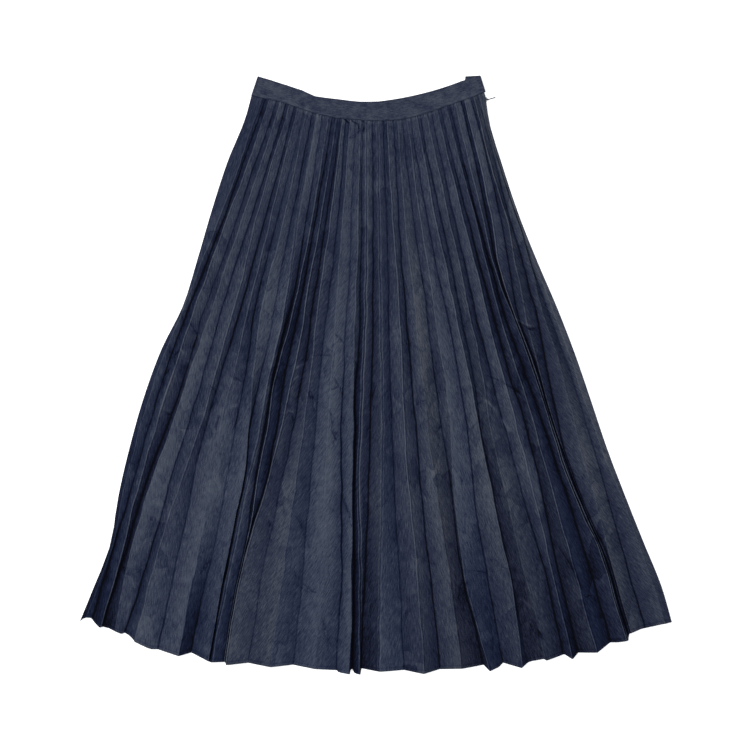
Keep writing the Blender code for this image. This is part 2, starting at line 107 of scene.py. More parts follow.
# One row for each fold from the wearer's right side seam to the left: a side seam, then a crest,
# a valley, a crest and so on
FOLDS = (
    Fold("side_right", (-18.35, -18.20, -18.60, -18.55, -18.35, -18.25, -18.85, -18.95, -18.75, -18.40,
                        -17.87, -18.05, -18.22), (0.0, 0.0, 0.0),
         (4.2, 4.8, 1.8, 0.5), (0, 0, 0, 0)),
    Fold("A", (-16.90, -17.00, -17.20, -17.50, -17.90, -18.15, -18.50, -18.60, -18.45, -18.15,
               -17.78, -17.90, -18.00), (4.0, 5.0, 4.0),
         (3.3, 6.4, 4.2, 3.2), (4.5, 2, 2, 2)),
    Fold("v1", (-16.35, -16.50, -16.80, -17.00, -17.40, -17.80, -17.95, -17.95, -17.85, -17.70,
                -17.65, -17.60, -17.60), (0.0, 0.5, 0.0),
         (2.6, 3, 5.3, 2.2), (6, 8, 6, 9)),
    Fold("B", (-15.75, -15.85, -16.15, -16.65, -16.95, -17.20, -17.30, -17.35, -17.35, -17.25,
               -17.00, -16.90, -16.93), (4.0, 6.0, 8.0),
         (6.2, 6.2, 2.8, 1), (3, 4, 5.5, 8.5), dull=(3, 4)),
    Fold("v2", (-14.70, -14.80, -15.35, -15.60, -15.90, -16.30, -16.30, -16.40, -16.70, -16.85,
                -16.75, -16.80, -16.80), (1.0, 0.5, 1.0),
         (4, 4.6, 2.2, 1.8), (5, 3, 10, 10), dull=(3, 4)),
    Fold("C", (-14.05, -14.20, -14.60, -15.00, -15.35, -15.60, -15.90, -16.10, -16.35, -16.50,
               -16.45, -16.22, -16.00), (4.0, 7.0, 8.0),
         (6.2, 7, 8.4, 5.5), (3.5, 1.5, 1, 1), dull=(3, 2)),
    Fold("v3", (-13.20, -13.30, -13.75, -14.10, -14.50, -14.65, -14.75, -14.90, -15.10, -15.15,
                -15.20, -15.30, -15.42), (0.5, 1.0, 0.5),
         (3, 6.6, 5, 4), (5, 6, 5, 9), dull=(3, 2.5)),
    Fold("D", (-12.65, -12.80, -13.30, -13.50, -13.50, -13.60, -13.75, -13.90, -14.25, -14.55,
               -14.70, -14.70, -14.70), (4.0, 7.0, 8.0),
         (6.2, 5.6, 4.6, 7.2), (3, 5, 4, 2), dull=(3, 2)),
    Fold("v4", (-11.90, -12.00, -12.25, -12.50, -12.75, -12.95, -13.25, -13.50, -13.55, -13.40,
                -13.30, -13.25, -13.20), (0.5, 1.0, 4.0),
         (3.4, 5, 7.4, 7), (5, 9, 5, 6), dull=(3, 2)),
    Fold("E", (-11.30, -11.45, -11.75, -11.90, -12.10, -12.15, -12.20, -12.40, -12.15, -12.05,
               -12.00, -11.95, -11.90), (4.0, 8.0, 10.0),
         (6.1, 4.2, 8.4, 1.6), (3, 5, 0, 4.5)),
    Fold("v5", (-10.35, -10.40, -10.80, -11.15, -11.40, -11.50, -11.20, -11.20, -11.10, -11.00,
                -11.10, -11.20, -11.18), (1.0, 1.0, 1.0),
         (5.2, 4.4, 7.4, 5), (3, 7.5, 2.5, 6)),
    Fold("F", (-9.90, -10.00, -10.15, -10.35, -10.75, -10.90, -10.50, -10.15, -9.80, -9.90,
               -10.00, -10.05, -10.05), (4.0, 8.0, 10.0),
         (5.4, 8, 2, 1), (3, 2, 4, 5)),
    Fold("v6", (-9.00, -9.10, -9.30, -9.55, -9.65, -9.70, -9.85, -10.00, -9.75, -9.88,
                -9.95, -9.98, -9.96), (1.0, 0.0, 0.0),
         (3.2, 7.2, 4, 3.6), (5, 3, 10, 10)),
    Fold("G", (-8.35, -8.40, -8.65, -8.77, -8.65, -8.70, -9.07, -9.15, -9.40, -9.62,
               -9.70, -9.87, -9.88), (4.0, 7.0, 7.0),
         (7.4, 2.8, 6, 2.9), (2.5, 4, 5, 6.5), piped=True),
    Fold("v7", (-7.50, -7.55, -7.65, -7.80, -7.90, -8.35, -8.77, -8.85, -8.95, -8.93,
                -9.00, -9.10, -9.10), (1.0, 0.0, 2.0),
         (5.4, 1.2, 0.8, 4), (4, 9, 5, 5)),
    Fold("H", (-6.60, -6.67, -6.90, -7.13, -7.57, -8.00, -8.60, -8.63, -8.80, -8.72,
               -8.99, -9.09, -9.07), (4.5, 8.0, 4.0),
         (5, 2.4, 4, 5), (4.5, 8, 8, 8)),
    Fold("v8", (-6.00, -6.07, -6.47, -6.80, -7.13, -7.43, -7.80, -7.87, -8.07, -8.60,
                -8.98, -9.08, -9.03), (0.0, 0.0, 2.0),
         (3.2, 4.2, 4.6, 6), (6, 9, 9, 6)),
    Fold("I", (-5.40, -5.47, -5.87, -6.20, -6.57, -6.80, -7.13, -7.50, -7.93, -8.50,
               -8.97, -9.07, -9.00), (4.5, 8.0, 10.0),
         (3.2, 4, 4.6, 6), (5.5, 8, 6, 7), dull=(3, 4)),
    Fold("v9", (-4.75, -4.83, -5.17, -5.57, -5.83, -6.03, -6.25, -6.53, -6.87, -7.20,
                -7.53, -7.53, -7.63), (0.0, 2.0, 4.0),
         (3, 3.4, 6.6, 5.6), (5, 8, 4, 4), dull=(3, 4)),
    Fold("J", (-4.40, -4.53, -4.77, -5.03, -5.33, -5.47, -5.57, -5.70, -5.87, -6.00,
               -6.10, -6.17, -6.20), (4.5, 8.0, 9.0),
         (6.2, 5, 5.2, 5.6), (4.5, 4.5, 3, 1)),
    Fold("v10", (-3.95, -4.00, -4.00, -4.13, -4.40, -4.57, -4.67, -4.70, -4.70, -4.77,
                 -4.73, -4.83, -4.90), (1.0, 2.0, 1.0),
         (3.6, 6.5, 7.4, 6.6), (5, 4.5, 4, 4)),
    Fold("K", (-3.25, -3.33, -3.43, -3.57, -3.60, -3.60, -3.67, -3.67, -3.60, -3.50,
               -3.30, -3.45, -3.53), (4.0, 6.0, 6.0),
         (6.6, 7.4, 8.4, 5.6), (2, 1.5, 0.5, 0)),
    Fold("v11", (-2.60, -2.60, -2.57, -2.47, -2.50, -2.57, -2.60, -2.57, -2.37, -2.23,
                 -2.07, -2.20, -2.17), (1.0, 2.0, 1.5),
         (5.6, 6.4, 7.3, 6.6), (3, 4, 12, 5.5)),
    Fold("L", (-1.80, -1.78, -1.73, -1.67, -1.73, -1.73, -1.70, -1.57, -1.53, -1.47,
               -1.43, -1.37, -1.40), (4.0, 8.0, 11.0),
         (5.6, 6, 0.5, 0.3), (4.5, 3, 3, 3), dull=(3, 2)),
    Fold("v12", (-1.40, -1.40, -1.35, -1.27, -1.30, -1.20, -1.47, -1.40, -1.37, -1.30,
                 -1.23, -1.20, -1.22), (0.0, 0.0, 0.0),
         (5.9, 2.4, 1.8, 1.8), (4, 6, 10, 10)),
    Fold("M", (-0.85, -0.80, -0.77, -0.70, -0.67, -0.73, -0.90, -1.03, -1.07, -0.90,
               -0.80, -0.77, -0.78), (4.0, 6.0, 6.0),
         (6, 5.2, 4, 0.8), (4, 8, 8, 8), dull=(3, 3), piped=True),
    Fold("v13", (0.00, 0.00, 0.05, 0.05, 0.07, 0.03, -0.08, -0.20, -0.30, -0.40,
                 -0.55, -0.65, -0.68), (0.0, 0.0, 0.0),
         (4.2, 4, 5.2, 1.5), (5, 8, 8.5, 8), dull=(3, 5)),
    Fold("N", (0.75, 0.77, 0.77, 0.77, 0.77, 0.80, 0.83, 0.83, 0.73, 0.60,
               0.53, 0.43, 0.43), (4.0, 7.0, 9.0),
         (4.9, 4.4, 4.5, 6), (4, 5, 2.5, 4), piped=True),
    Fold("v14", (1.50, 1.50, 1.60, 1.63, 1.63, 1.60, 1.62, 1.63, 1.63, 1.73,
                 1.83, 1.89, 1.90), (1.0, 2.0, 3.0),
         (3.4, 5.8, 5.7, 4.2), (4, 5, 5, 4), dull=(3, 3)),
    Fold("O", (2.10, 2.15, 2.27, 2.43, 2.63, 2.67, 2.60, 2.60, 2.73, 2.93,
               3.03, 3.10, 3.13), (4.0, 7.0, 9.0),
         (6.4, 3.8, 5.8, 4), (4, 6, 5, 4), dull=(3, 4)),
    Fold("v15", (3.05, 3.07, 3.10, 3.13, 3.23, 3.40, 3.50, 3.57, 3.67, 3.80,
                 3.93, 4.07, 4.09), (0.0, 1.0, 1.0),
         (5, 6, 6.6, 5.8), (5, 8.5, 8, 8.5), dull=(3, 4)),
    Fold("P", (3.70, 3.75, 3.77, 3.87, 4.10, 4.27, 4.47, 4.60, 4.83, 5.03,
               5.23, 5.40, 5.43), (3.5, 6.0, 8.0),
         (5.8, 7, 4.4, 2.2), (3, 1, 1.5, 4), dull=(3, 8)),
    Fold("v16", (4.40, 4.43, 4.67, 4.90, 5.23, 5.43, 5.50, 5.70, 5.90, 6.00,
                 6.10, 6.55, 6.78), (1.0, 1.0, 1.0),
         (5.2, 5, 4.4, 1.2), (4, 5, 5, 7), dull=(3, 5)),
    Fold("Q", (5.00, 5.20, 5.43, 5.70, 5.97, 6.20, 6.43, 6.40, 6.12, 6.10,
               6.27, 6.73, 7.05), (4.0, 7.0, 9.0),
         (6, 7.4, 7.4, 3), (4.5, 1.5, 0.5, 5)),
    Fold("v17", (5.70, 5.77, 6.17, 6.57, 6.97, 7.40, 7.63, 7.73, 7.67, 7.60,
                 7.77, 7.93, 8.00), (1.0, 1.0, 1.0),
         (6.2, 6.6, 7.4, 4), (5, 6.5, 7.5, 5.5), dull=(3, 4)),
    Fold("R", (6.60, 6.75, 7.13, 7.47, 7.93, 8.17, 8.53, 8.73, 8.90, 9.03,
               9.27, 9.23, 9.13), (4.0, 8.0, 10.0),
         (5, 4.8, 4.6, 2.2), (5.5, 6, 6, 6)),
    Fold("v18", (7.15, 7.23, 7.67, 8.13, 8.47, 8.73, 8.97, 8.85, 9.00, 9.15,
                 9.40, 9.45, 9.50), (0.5, 1.0, 1.0),
         (6, 4.9, 2.6, 1.4), (6.5, 6, 3, 1.5), dull=(3, 8)),
    Fold("S", (8.10, 8.23, 8.67, 9.03, 9.33, 9.57, 9.70, 9.67, 9.83, 10.07,
               10.23, 10.50, 10.53), (4.0, 6.0, 6.0),
         (5.2, 2.9, 5.6, 3.2), (5, 5.5, 1, 1.5), dull=(3, 5)),
    Fold("v19", (8.85, 8.93, 9.33, 9.67, 9.93, 10.17, 10.47, 10.77, 11.00, 11.33,
                 11.63, 11.70, 11.70), (1.0, 2.0, 2.0),
         (5.9, 6.6, 6.1, 2), (5, 7.5, 5, 9), dull=(3, 4)),
    Fold("T", (9.75, 9.87, 10.27, 10.67, 11.00, 11.20, 11.47, 11.70, 11.90, 12.03,
               12.10, 12.13, 12.18), (4.0, 8.0, 9.0),
         (4.3, 3, 7.4, 0.8), (5.5, 7, 4, 7)),
    Fold("v20", (10.35, 10.43, 10.80, 11.20, 11.53, 11.80, 12.03, 12.45, 12.58, 12.50,
                 12.48, 12.55, 12.62), (0.5, 1.0, 1.0),
         (5.6, 2.8, 2.6, 2.4), (5, 10, 6, 8), dull=(3, 7)),
    Fold("U", (11.25, 11.33, 11.67, 12.00, 12.13, 12.33, 12.73, 13.13, 13.27, 13.40,
               13.53, 13.63, 13.69), (4.5, 8.0, 9.0),
         (3.5, 2.3, 3.9, 2), (4.5, 7, 6, 6)),
    Fold("v21", (11.80, 11.87, 12.07, 12.27, 12.60, 12.90, 13.37, 13.77, 14.10, 14.37,
                 14.53, 14.67, 14.67), (0.0, 0.0, 0.0),
         (4.8, 2.8, 3, 3), (6, 9, 10, 9), dull=(3, 4)),
    Fold("V", (12.60, 12.63, 12.73, 12.87, 12.90, 13.60, 14.13, 14.40, 14.57, 14.97,
               15.57, 15.57, 15.70), (4.5, 8.0, 9.0),
         (6.8, 1.5, 5, 4.4), (3.5, 7, 8, 8)),
    Fold("v22", (13.50, 13.53, 13.50, 13.33, 13.17, 13.66, 14.16, 14.44, 14.62, 15.03,
                 15.61, 15.63, 15.73), (0.0, 5.0, 6.0),
         (2, 1, 5, 5), (5, 10, 9, 8)),
    Fold("W", (14.10, 14.07, 14.03, 13.77, 13.40, 13.73, 14.27, 14.50, 14.70, 15.12,
               15.68, 15.70, 15.79), (4.5, 8.0, 9.0),
         (7.4, 4.6, 4, 1), (4.5, 8, 8, 8)),
    Fold("v22b", (15.05, 15.10, 15.03, 14.80, 14.33, 14.05, 14.50, 14.60, 14.90, 15.25,
                  15.78, 15.85, 15.87), (1.0, 0.0, 0.0),
         (3.5, 4, 3, 1), (4.5, 6.5, 9, 10), dull=(5, 3)),
    Fold("X", (15.60, 15.53, 15.30, 15.47, 15.07, 14.73, 14.72, 14.72, 14.98, 15.30,
               15.84, 15.89, 15.90), (4.5, 7.0, 3.0),
         (5.2, 3.8, 2, 1), (6.5, 3.5, 4, 3), dull=(5, 3)),
    Fold("v23", (16.25, 16.17, 15.97, 15.87, 15.83, 15.77, 15.43, 15.20, 15.03, 15.35,
                 15.90, 15.93, 15.93), (0.5, 1.0, 3.0),
         (7.6, 4.6, 5.6, 3.6), (5, 8, 8, 4), dull=(4, 4)),
    Fold("Y", (16.50, 16.45, 16.45, 16.65, 16.57, 16.40, 16.53, 16.37, 16.20, 16.23,
               16.10, 16.02, 15.96), (3.5, 6.0, 8.0),
         (6.5, 2.6, 6.6, 4.6), (1, 2.5, 1, 2), dull=(4, 5)),
    Fold("v24", (16.76, 16.50, 16.52, 16.70, 16.68, 17.00, 17.17, 17.20, 17.17, 17.10,
                 17.07, 16.97, 16.97), (1.0, 1.0, 1.0),
         (6.5, 6.6, 4.8, 5.3), (0, 3, 4, 8), dull=(4, 4)),
    Fold("Z", (16.93, 16.60, 16.60, 16.75, 17.00, 17.40, 17.60, 17.65, 17.75, 18.10,
               18.20, 18.25, 18.20), (3.0, 5.0, 6.0),
         (7, 7.4, 7, 4), (1, 2, 1, 1.5), dull=(4, 4)),
    Fold("side_left", (17.10, 16.70, 16.63, 16.80, 17.23, 17.73, 18.00, 18.07, 18.10, 18.27,
                       18.47, 18.67, 18.57), (0.0, 0.0, 0.0),
         (5, 5, 5, 5), (0, 0, 0, 0)),
)


class EdgePoint(NamedTuple):
    """A point of the hem's edge: degrees from the centre front, and metres from the fan's centre."""

    degrees: float
    radius: float


HEM_EDGE = tuple(EdgePoint(*row) for row in (
    (-18.24, 1.4936), (-18.12, 1.4880), (-17.95, 1.4848), (-17.66, 1.4832), (-17.40, 1.4880),
    (-16.97, 1.4936), (-16.80, 1.4910), (-16.40, 1.4902), (-15.57, 1.4941), (-15.43, 1.4906),
    (-15.10, 1.4925), (-14.80, 1.4970), (-14.67, 1.5002), (-13.65, 1.5056), (-13.20, 1.5027),
    (-11.86, 1.5059), (-11.16, 1.4968), (-9.91, 1.5064), (-9.03, 1.5022), (-8.93, 1.5069),
    (-7.62, 1.4979), (-6.22, 1.5003), (-4.89, 1.4934), (-3.53, 1.4974), (-2.19, 1.4978),
    (-2.08, 1.5010), (-1.38, 1.5032), (-1.32, 1.4947), (-1.23, 1.4957), (-1.09, 1.5022),
    (-0.74, 1.5040), (-0.68, 1.4939), (0.48, 1.4989), (1.92, 1.4970), (3.12, 1.5046),
    (4.10, 1.4989), (5.53, 1.5008), (6.80, 1.4986), (7.13, 1.5099), (7.75, 1.5048),
    (8.00, 1.4994), (9.06, 1.5115), (9.61, 1.5040), (10.50, 1.5035), (10.63, 1.5072),
    (11.77, 1.5027), (12.19, 1.5131), (12.62, 1.5051), (13.75, 1.5115), (14.66, 1.5014),
    (15.13, 1.5043), (15.76, 1.5059), (15.93, 1.4960), (16.70, 1.4939), (18.00, 1.4965),
    (18.57, 1.4984),
))


class BandStation(NamedTuple):
    """Where the waistband's edges lie at one angle: radii of its top, front and back, and bottom."""

    degrees: float
    top_front: float
    top_back: float
    bottom: float


BAND = tuple(BandStation(*row) for row in (
    (-18.55, 0.5770, 0.5785, 0.6100), (-16.50, 0.5765, 0.5780, 0.6078),
    (-13.50, 0.5780, 0.5795, 0.6068), (-11.20, 0.5805, 0.5820, 0.6095),
    (-9.00, 0.5862, 0.5877, 0.6130), (-5.50, 0.5862, 0.5877, 0.6165),
    (-2.00, 0.5880, 0.5895, 0.6174), (1.00, 0.5873, 0.5888, 0.6186),
    (4.50, 0.5838, 0.5853, 0.6180), (8.20, 0.5798, 0.5813, 0.6122),
    (11.20, 0.5765, 0.5780, 0.6068), (14.40, 0.5727, 0.5742, 0.6031),
    (14.90, 0.5727, 0.5742, 0.6026), (15.20, 0.5690, 0.5668, 0.6023),
    (17.55, 0.5742, 0.5722, 0.5998),
))


class Crease(NamedTuple):
    """A soft crease between two places, all in millimetres; a trough has a negative height."""

    x0: float
    y0: float
    x1: float
    y1: float
    bow: float
    height: float
    width: float


CREASE_TONE, CREASE_GAIN = 0.16, 1.5    # painted shade in a trough and painted light on a ridge, as tone for each millimetre of height; and times the height
CREASE_SPREAD = 4.5 * MM                # how far a crease's own lines reach
CREASES = tuple(Crease(*row) for row in (
    (-312, 100, -307, 75, 0, -0.7, 2.2), (-299, 84, -286, 62, 1, -0.9, 2.4),
    (-286, 62, -296, 39, 1, -0.9, 2.2), (-314, 41, -302, 20, 2, 0.9, 2.2),
    (-302, 20, -326, -25, 3, -1.0, 2.4), (-338, 49, -320, 12, 2, -0.9, 2.2),
    (-344, -65, -326, -57, 1, 1.0, 2.0), (-344, -71, -327, -63, 1, -0.9, 2.0),
    (-338, -4, -344, -25, 1, -0.7, 2.0), (-266, -17, -254, -33, 1, -0.8, 2.2),
    (-254, -33, -266, -57, 1, -0.8, 2.2), (-227, -5, -214, -13, 1, -0.8, 2.0),
    (-235, -55, -222, -49, 1, 0.8, 2.0), (-222, -49, -230, -89, 4, -0.9, 2.4),
    (-102, 30, -70, 30, 1, -0.4, 1.8), (-48, 30, -27, 12, 1, -1.0, 2.2),
    (-29, 15, -35, 1, 0, -1.2, 2.2), (-131, 7, -110, 19, 1, 0.9, 2.2),
    (-122, -13, -128, -41, 2, -0.9, 2.4), (-72, -25, -58, -18, 0, -0.8, 2.0),
    (-58, -18, -54, -33, 0, -0.8, 2.0), (-75, -57, -72, -89, 3, -0.9, 2.4),
    (-72, -89, -62, -105, 0, -0.8, 2.2), (-142, -57, -130, -61, 0, 0.8, 2.0),
    (-107, -25, -98, -41, 0, -0.8, 2.0), (-98, -41, -99, -57, 0, 0.8, 2.2),
    (98, -29, 112, -25, 0, -1.3, 2.2), (64, -49, 78, -41, 0, -1.1, 2.2),
    (94, -97, 104, -82, 1, -0.8, 2.0), (168, -37, 198, -69, 3, 0.9, 2.6),
    (198, -69, 214, -93, 1, 0.8, 2.6), (176, -1, 238, -37, 3, -0.8, 2.4),
    (222, 91, 258, 75, -3, 1.0, 2.4), (224, 86, 258, 69, -3, -1.0, 2.4),
    (258, 55, 254, 15, 3, -1.0, 2.4), (-362, -225, -358, -249, 1, -1.0, 4.0),
    (-382, -317, -366, -306, 1, -1.4, 3.2), (-395, -321, -386, -345, 2, 1.0, 3.6),
    (-386, -345, -400, -409, -3, 1.0, 4.0), (-406, -305, -398, -321, 1, -0.9, 3.0),
    (-426, -402, -416, -380, 0, -1.0, 2.6), (-282, -321, -264, -297, 2, -0.8, 3.2),
    (-131, -314, -94, -349, -8, -1.0, 3.6), (-171, -233, -168, -269, 1, -0.9, 3.0),
    (-58, -189, -38, -245, 2, -0.9, 3.0), (-86, -389, -70, -437, -2, -0.9, 3.4),
    (-130, -225, -118, -249, 2, -0.8, 4.0), (181, -293, 211, -311, -2, -0.9, 3.2),
    (142, -313, 178, -317, 1, -0.6, 4.0), (226, -357, 254, -377, 2, 1.0, 3.6),
    (246, -401, 270, -425, 1, -1.2, 4.0), (130, -361, 146, -329, 2, -1.0, 4.0),
    (254, -177, 264, -205, 2, 0.9, 3.0), (264, -205, 254, -221, 1, 0.9, 3.0),
    (290, -273, 334, -353, 3, -0.8, 3.6), (330, -353, 346, -353, 0, -0.8, 3.0),
    (-326, 27, -312, 41, 0, -0.8, 2.2), (-320, 11, -348, -69, -2, 0.8, 3.0),
    (-338, -1, -328, 11, 0, -0.8, 2.0), (-256, -89, -250, -65, 1, -0.9, 2.2),
    (-338, 49, -324, 29, 0, -0.6, 2.4), (-193, 57, -190, 39, 1, -1.0, 2.2),
    (-110, -26, -98, -61, 1, -0.9, 2.2), (-60, -18, -67, -5, 0, -0.7, 2.2),
    (-64, -89, -70, -113, 1, -0.9, 2.4), (-56, -65, -52, -82, 0, -0.8, 2.0),
    (-18, -105, -10, -81, 1, -0.9, 2.4), (-6, -41, 0, -17, 1, -0.8, 2.2),
    (-134, -65, -134, -89, 1, -0.9, 2.2), (-132, -10, -122, -2, 1, 0.8, 2.0),
    (-67, 65, -52, 50, 1, -0.7, 2.2), (-53, 410, -42, 401, 0, -1.2, 1.5),
    (-42, 409, -27, 399, -1, -1.3, 1.5), (-27, 400, -26, 390, -1, -1.4, 1.5),
    (-25, 391, -43, 378, 1, -1.4, 1.6), (-22, 406, -16, 401, 0, -1.0, 1.4),
    (-16, 402, -21, 388, 0, -1.0, 1.4),
))


class Side(Enum):
    """Which way a finished surface looks."""

    FRONT = "front"
    BACK = "back"


def linear(code: str) -> tuple[float, float, float, float]:
    """Turns an sRGB hex code into linear red, green and blue, with an alpha of one.

    Args:
        code: six hex digits after a hash.

    Returns:
        The linear colour.
    """
    parts = (int(code[k:k + 2], 16) / 255 for k in (1, 3, 5))
    values = [c / 12.92 if c <= 0.04045 else ((c + 0.055) / 1.055) ** 2.4 for c in parts]
    return values[0], values[1], values[2], 1.0


def add_node(material: bpy.types.Material, kind: str, links: dict[str | int, object] | None = None,
             **settings: str | bool) -> bpy.types.ShaderNode:
    """Adds one shader node with its settings and links.

    Args:
        material: the material whose tree it joins.
        kind: the node's type.
        links: input name or number to a node, whose first output is meant, to an output socket,
            or to a plain value.
        settings: properties of the node itself.

    Returns:
        The new node.
    """
    node = material.node_tree.nodes.new(kind)
    for name, value in settings.items():
        setattr(node, name, value)
    for name, value in (links or {}).items():
        source = value.outputs[0] if isinstance(value, bpy.types.Node) else value
        if isinstance(source, bpy.types.NodeSocket):
            material.node_tree.links.new(source, node.inputs[name])
        else:
            node.inputs[name].default_value = source
    return node


def new_material(name: str) -> tuple[bpy.types.Material, bpy.types.ShaderNode]:
    """Makes an empty node material with a Principled shader that is linked to the output.

    Args:
        name: the material's name.

    Returns:
        The material and its shader.
    """
    material = bpy.data.materials.new(name)
    material.use_nodes = True
    material.node_tree.nodes.clear()
    shader = add_node(material, "ShaderNodeBsdfPrincipled")
    add_node(material, "ShaderNodeOutputMaterial", {"Surface": shader})
    return material, shader


@dataclass(frozen=True)
class LineProfile:
    """How the denim's fine lines look: widths in metres, and what each adds to the tone.

    Attributes:
        crest_width, crest_gain: the edge of a crest, worn and with a painted highlight.
        beside: how far from a crest its shadows and its piping lie.
        shadow_width, shadow_left, shadow_right: its shadows on both sides, and what the right one,
            which is away from the light, has besides.
        pipe_width, pipe_gain, pipe_dip: a piped crest's lines, worn and with painted highlights, and the
            painted shade in the dip between them.
        valley_width, valley_wider, valley_gain: a valley's line of painted shade, wider where it is
            plainer.
        crease_width, crease_gain: the line of a crease: painted shade in a trough, painted light on a
            ridge.
        under_crease, under_width, under_gain: the line below it, of the other sign: painted light below a
            trough, painted shade below a ridge.
        stitch, stitch_width, stitch_gain, stitch_depth: the hem's sewn line, above the edge.
        hem_worn: the worn strip below that line.
    """

    crest_width: float = 1.2 * MM
    crest_gain: float = 0.54
    beside: float = 2.0 * MM
    shadow_width: float = 1.2 * MM
    shadow_left: float = -0.14
    shadow_right: float = -0.2
    pipe_width: float = 1.3 * MM
    pipe_gain: float = 0.5
    pipe_dip: float = -0.32
    valley_width: float = 1.8 * MM
    valley_wider: float = 0.6 * MM
    valley_gain: float = -0.54
    crease_width: float = 1.8 * MM
    crease_gain: float = 0.24
    under_crease: float = 2.3 * MM
    under_width: float = 1.6 * MM
    under_gain: float = -0.12
    stitch: float = 5 * MM
    stitch_width: float = 1.2 * MM
    stitch_gain: float = -0.12
    stitch_depth: float = -1.2
    hem_worn: float = 0.10

    @staticmethod
    def on_line(material: bpy.types.Material, distance: bpy.types.NodeSocket | bpy.types.Node,
                width: float | bpy.types.Node) -> bpy.types.Node:
        """Gives one on a line, falling as a smooth step to nothing at a width from it.

        Args:
            material: the denim.
            distance: what gives the distance from the line.
            width: where it has fallen to nothing.

        Returns:
            The node that gives it.
        """
        return add_node(material, "ShaderNodeMapRange", {
            "Value": distance, "From Max": width, "To Min": 1.0, "To Max": 0.0},
            interpolation_type="SMOOTHSTEP")

    def folds(self, material: bpy.types.Material) -> bpy.types.Node:
        """Draws fine lines along the folds.

        A crest is worn and has a painted highlight, between a faint painted shadow and, away from the
        light, a plainer one; a piped crest has its worn, painted highlights beside the fold instead, with
        painted shade in the dip; a valley has a line of painted shade, wider where it is plainer.
        The sum is the crest's strength times its profile, and the valley's times its own.

        Args:
            material: the denim.

        Returns:
            What the lines add to the tone.
        """
        fold = add_node(material, "ShaderNodeAttribute", attribute_name="fold")
        to_crest, to_valley, right = add_node(
            material, "ShaderNodeSeparateXYZ", {0: fold.outputs["Vector"]}).outputs
        lines = add_node(material, "ShaderNodeAttribute", attribute_name="lines")
        crest, valley, piped = add_node(
            material, "ShaderNodeSeparateXYZ", {0: lines.outputs["Vector"]}).outputs
        # The crest's worn edge with a painted highlight, and its painted shadows beside it
        edge = self.on_line(material, to_crest, self.crest_width)
        beside = add_node(material, MATH, {0: to_crest, 1: self.beside}, operation="SUBTRACT")
        beside = add_node(material, MATH, {0: beside}, operation="ABSOLUTE")
        pipe = self.on_line(material, beside, self.pipe_width)
        depth = add_node(material, MATH, {0: right, 1: self.shadow_right, 2: self.shadow_left},
                         operation="MULTIPLY_ADD")
        near = self.on_line(material, beside, self.shadow_width)
        shadow = add_node(material, MATH, {0: near, 1: depth}, operation="MULTIPLY")
        plain = add_node(material, MATH, {0: edge, 1: self.crest_gain, 2: shadow},
                         operation="MULTIPLY_ADD")
        pipes = add_node(material, MATH, {0: pipe, 1: self.pipe_gain}, operation="MULTIPLY")
        double = add_node(material, MATH, {0: edge, 1: self.pipe_dip, 2: pipes},
                          operation="MULTIPLY_ADD")
        shape = add_node(material, "ShaderNodeMix", {0: piped, 2: plain, 3: double})
        # A line of painted shade along the valley
        reach = add_node(material, MATH, {0: valley, 1: self.valley_wider, 2: self.valley_width},
                         operation="MULTIPLY_ADD")
        dark = add_node(material, MATH, {0: self.on_line(material, to_valley, reach), 1: valley},
                        operation="MULTIPLY")
        added = add_node(material, MATH, {0: shape, 1: crest}, operation="MULTIPLY")
        return add_node(material, MATH, {0: dark, 1: self.valley_gain, 2: added},
                        operation="MULTIPLY_ADD")

    def creases(self, material: bpy.types.Material) -> bpy.types.Node:
        """Draws fine lines along the creases: painted shade in a trough with painted light below it, and
        the reverse on a ridge.

        Args:
            material: the denim.

        Returns:
            What the lines add to the tone.
        """
        crease = add_node(material, "ShaderNodeAttribute", attribute_name="crease")
        away, strength, _ = add_node(
            material, "ShaderNodeSeparateXYZ", {0: crease.outputs["Vector"]}).outputs
        off = add_node(material, MATH, {0: away}, operation="ABSOLUTE")
        # Painted shade along a trough and painted light along a ridge, the other way round just below
        line = self.on_line(material, off, self.crease_width)
        line = add_node(material, MATH, {0: line, 1: self.crease_gain}, operation="MULTIPLY")
        under = add_node(material, MATH, {0: away, 1: self.under_crease})
        under = add_node(material, MATH, {0: under}, operation="ABSOLUTE")
        under = self.on_line(material, under, self.under_width)
        shape = add_node(material, MATH, {0: under, 1: self.under_gain, 2: line},
                         operation="MULTIPLY_ADD")
        return add_node(material, MATH, {0: shape, 1: strength}, operation="MULTIPLY")

    def hem(self, material: bpy.types.Material, wear_and_light: bpy.types.Node,
            height: bpy.types.Node) -> tuple[bpy.types.Node, bpy.types.Node]:
        """Sinks a fine stitched line into the cloth above the hem, with a worn edge below it.

        Args:
            material: the denim.
            wear_and_light: the tone so far, wear with painted light and shade.
            height: the cloth's relief so far.

        Returns:
            The new tone and the new relief.
        """
        edge = add_node(material, "ShaderNodeAttribute", attribute_name="to_hem").outputs["Fac"]
        away = add_node(material, MATH, {0: edge, 1: self.stitch}, operation="SUBTRACT")
        away = add_node(material, MATH, {0: away}, operation="ABSOLUTE")
        line = add_node(material, "ShaderNodeMapRange", {
            "Value": away, "From Max": self.stitch_width, "To Min": 1.0, "To Max": 0.0})
        below = add_node(material, "ShaderNodeMapRange", {
            "Value": edge, "From Max": self.stitch, "To Min": self.hem_worn, "To Max": 0.0})
        wear_and_light = add_node(material, MATH, {0: wear_and_light, 1: below})
        wear_and_light = add_node(material, MATH, {0: line, 1: self.stitch_gain, 2: wear_and_light},
                        operation="MULTIPLY_ADD", use_clamp=True)
        sunk = add_node(material, MATH, {0: line, 1: self.stitch_depth, 2: height},
                        operation="MULTIPLY_ADD")
        return wear_and_light, sunk


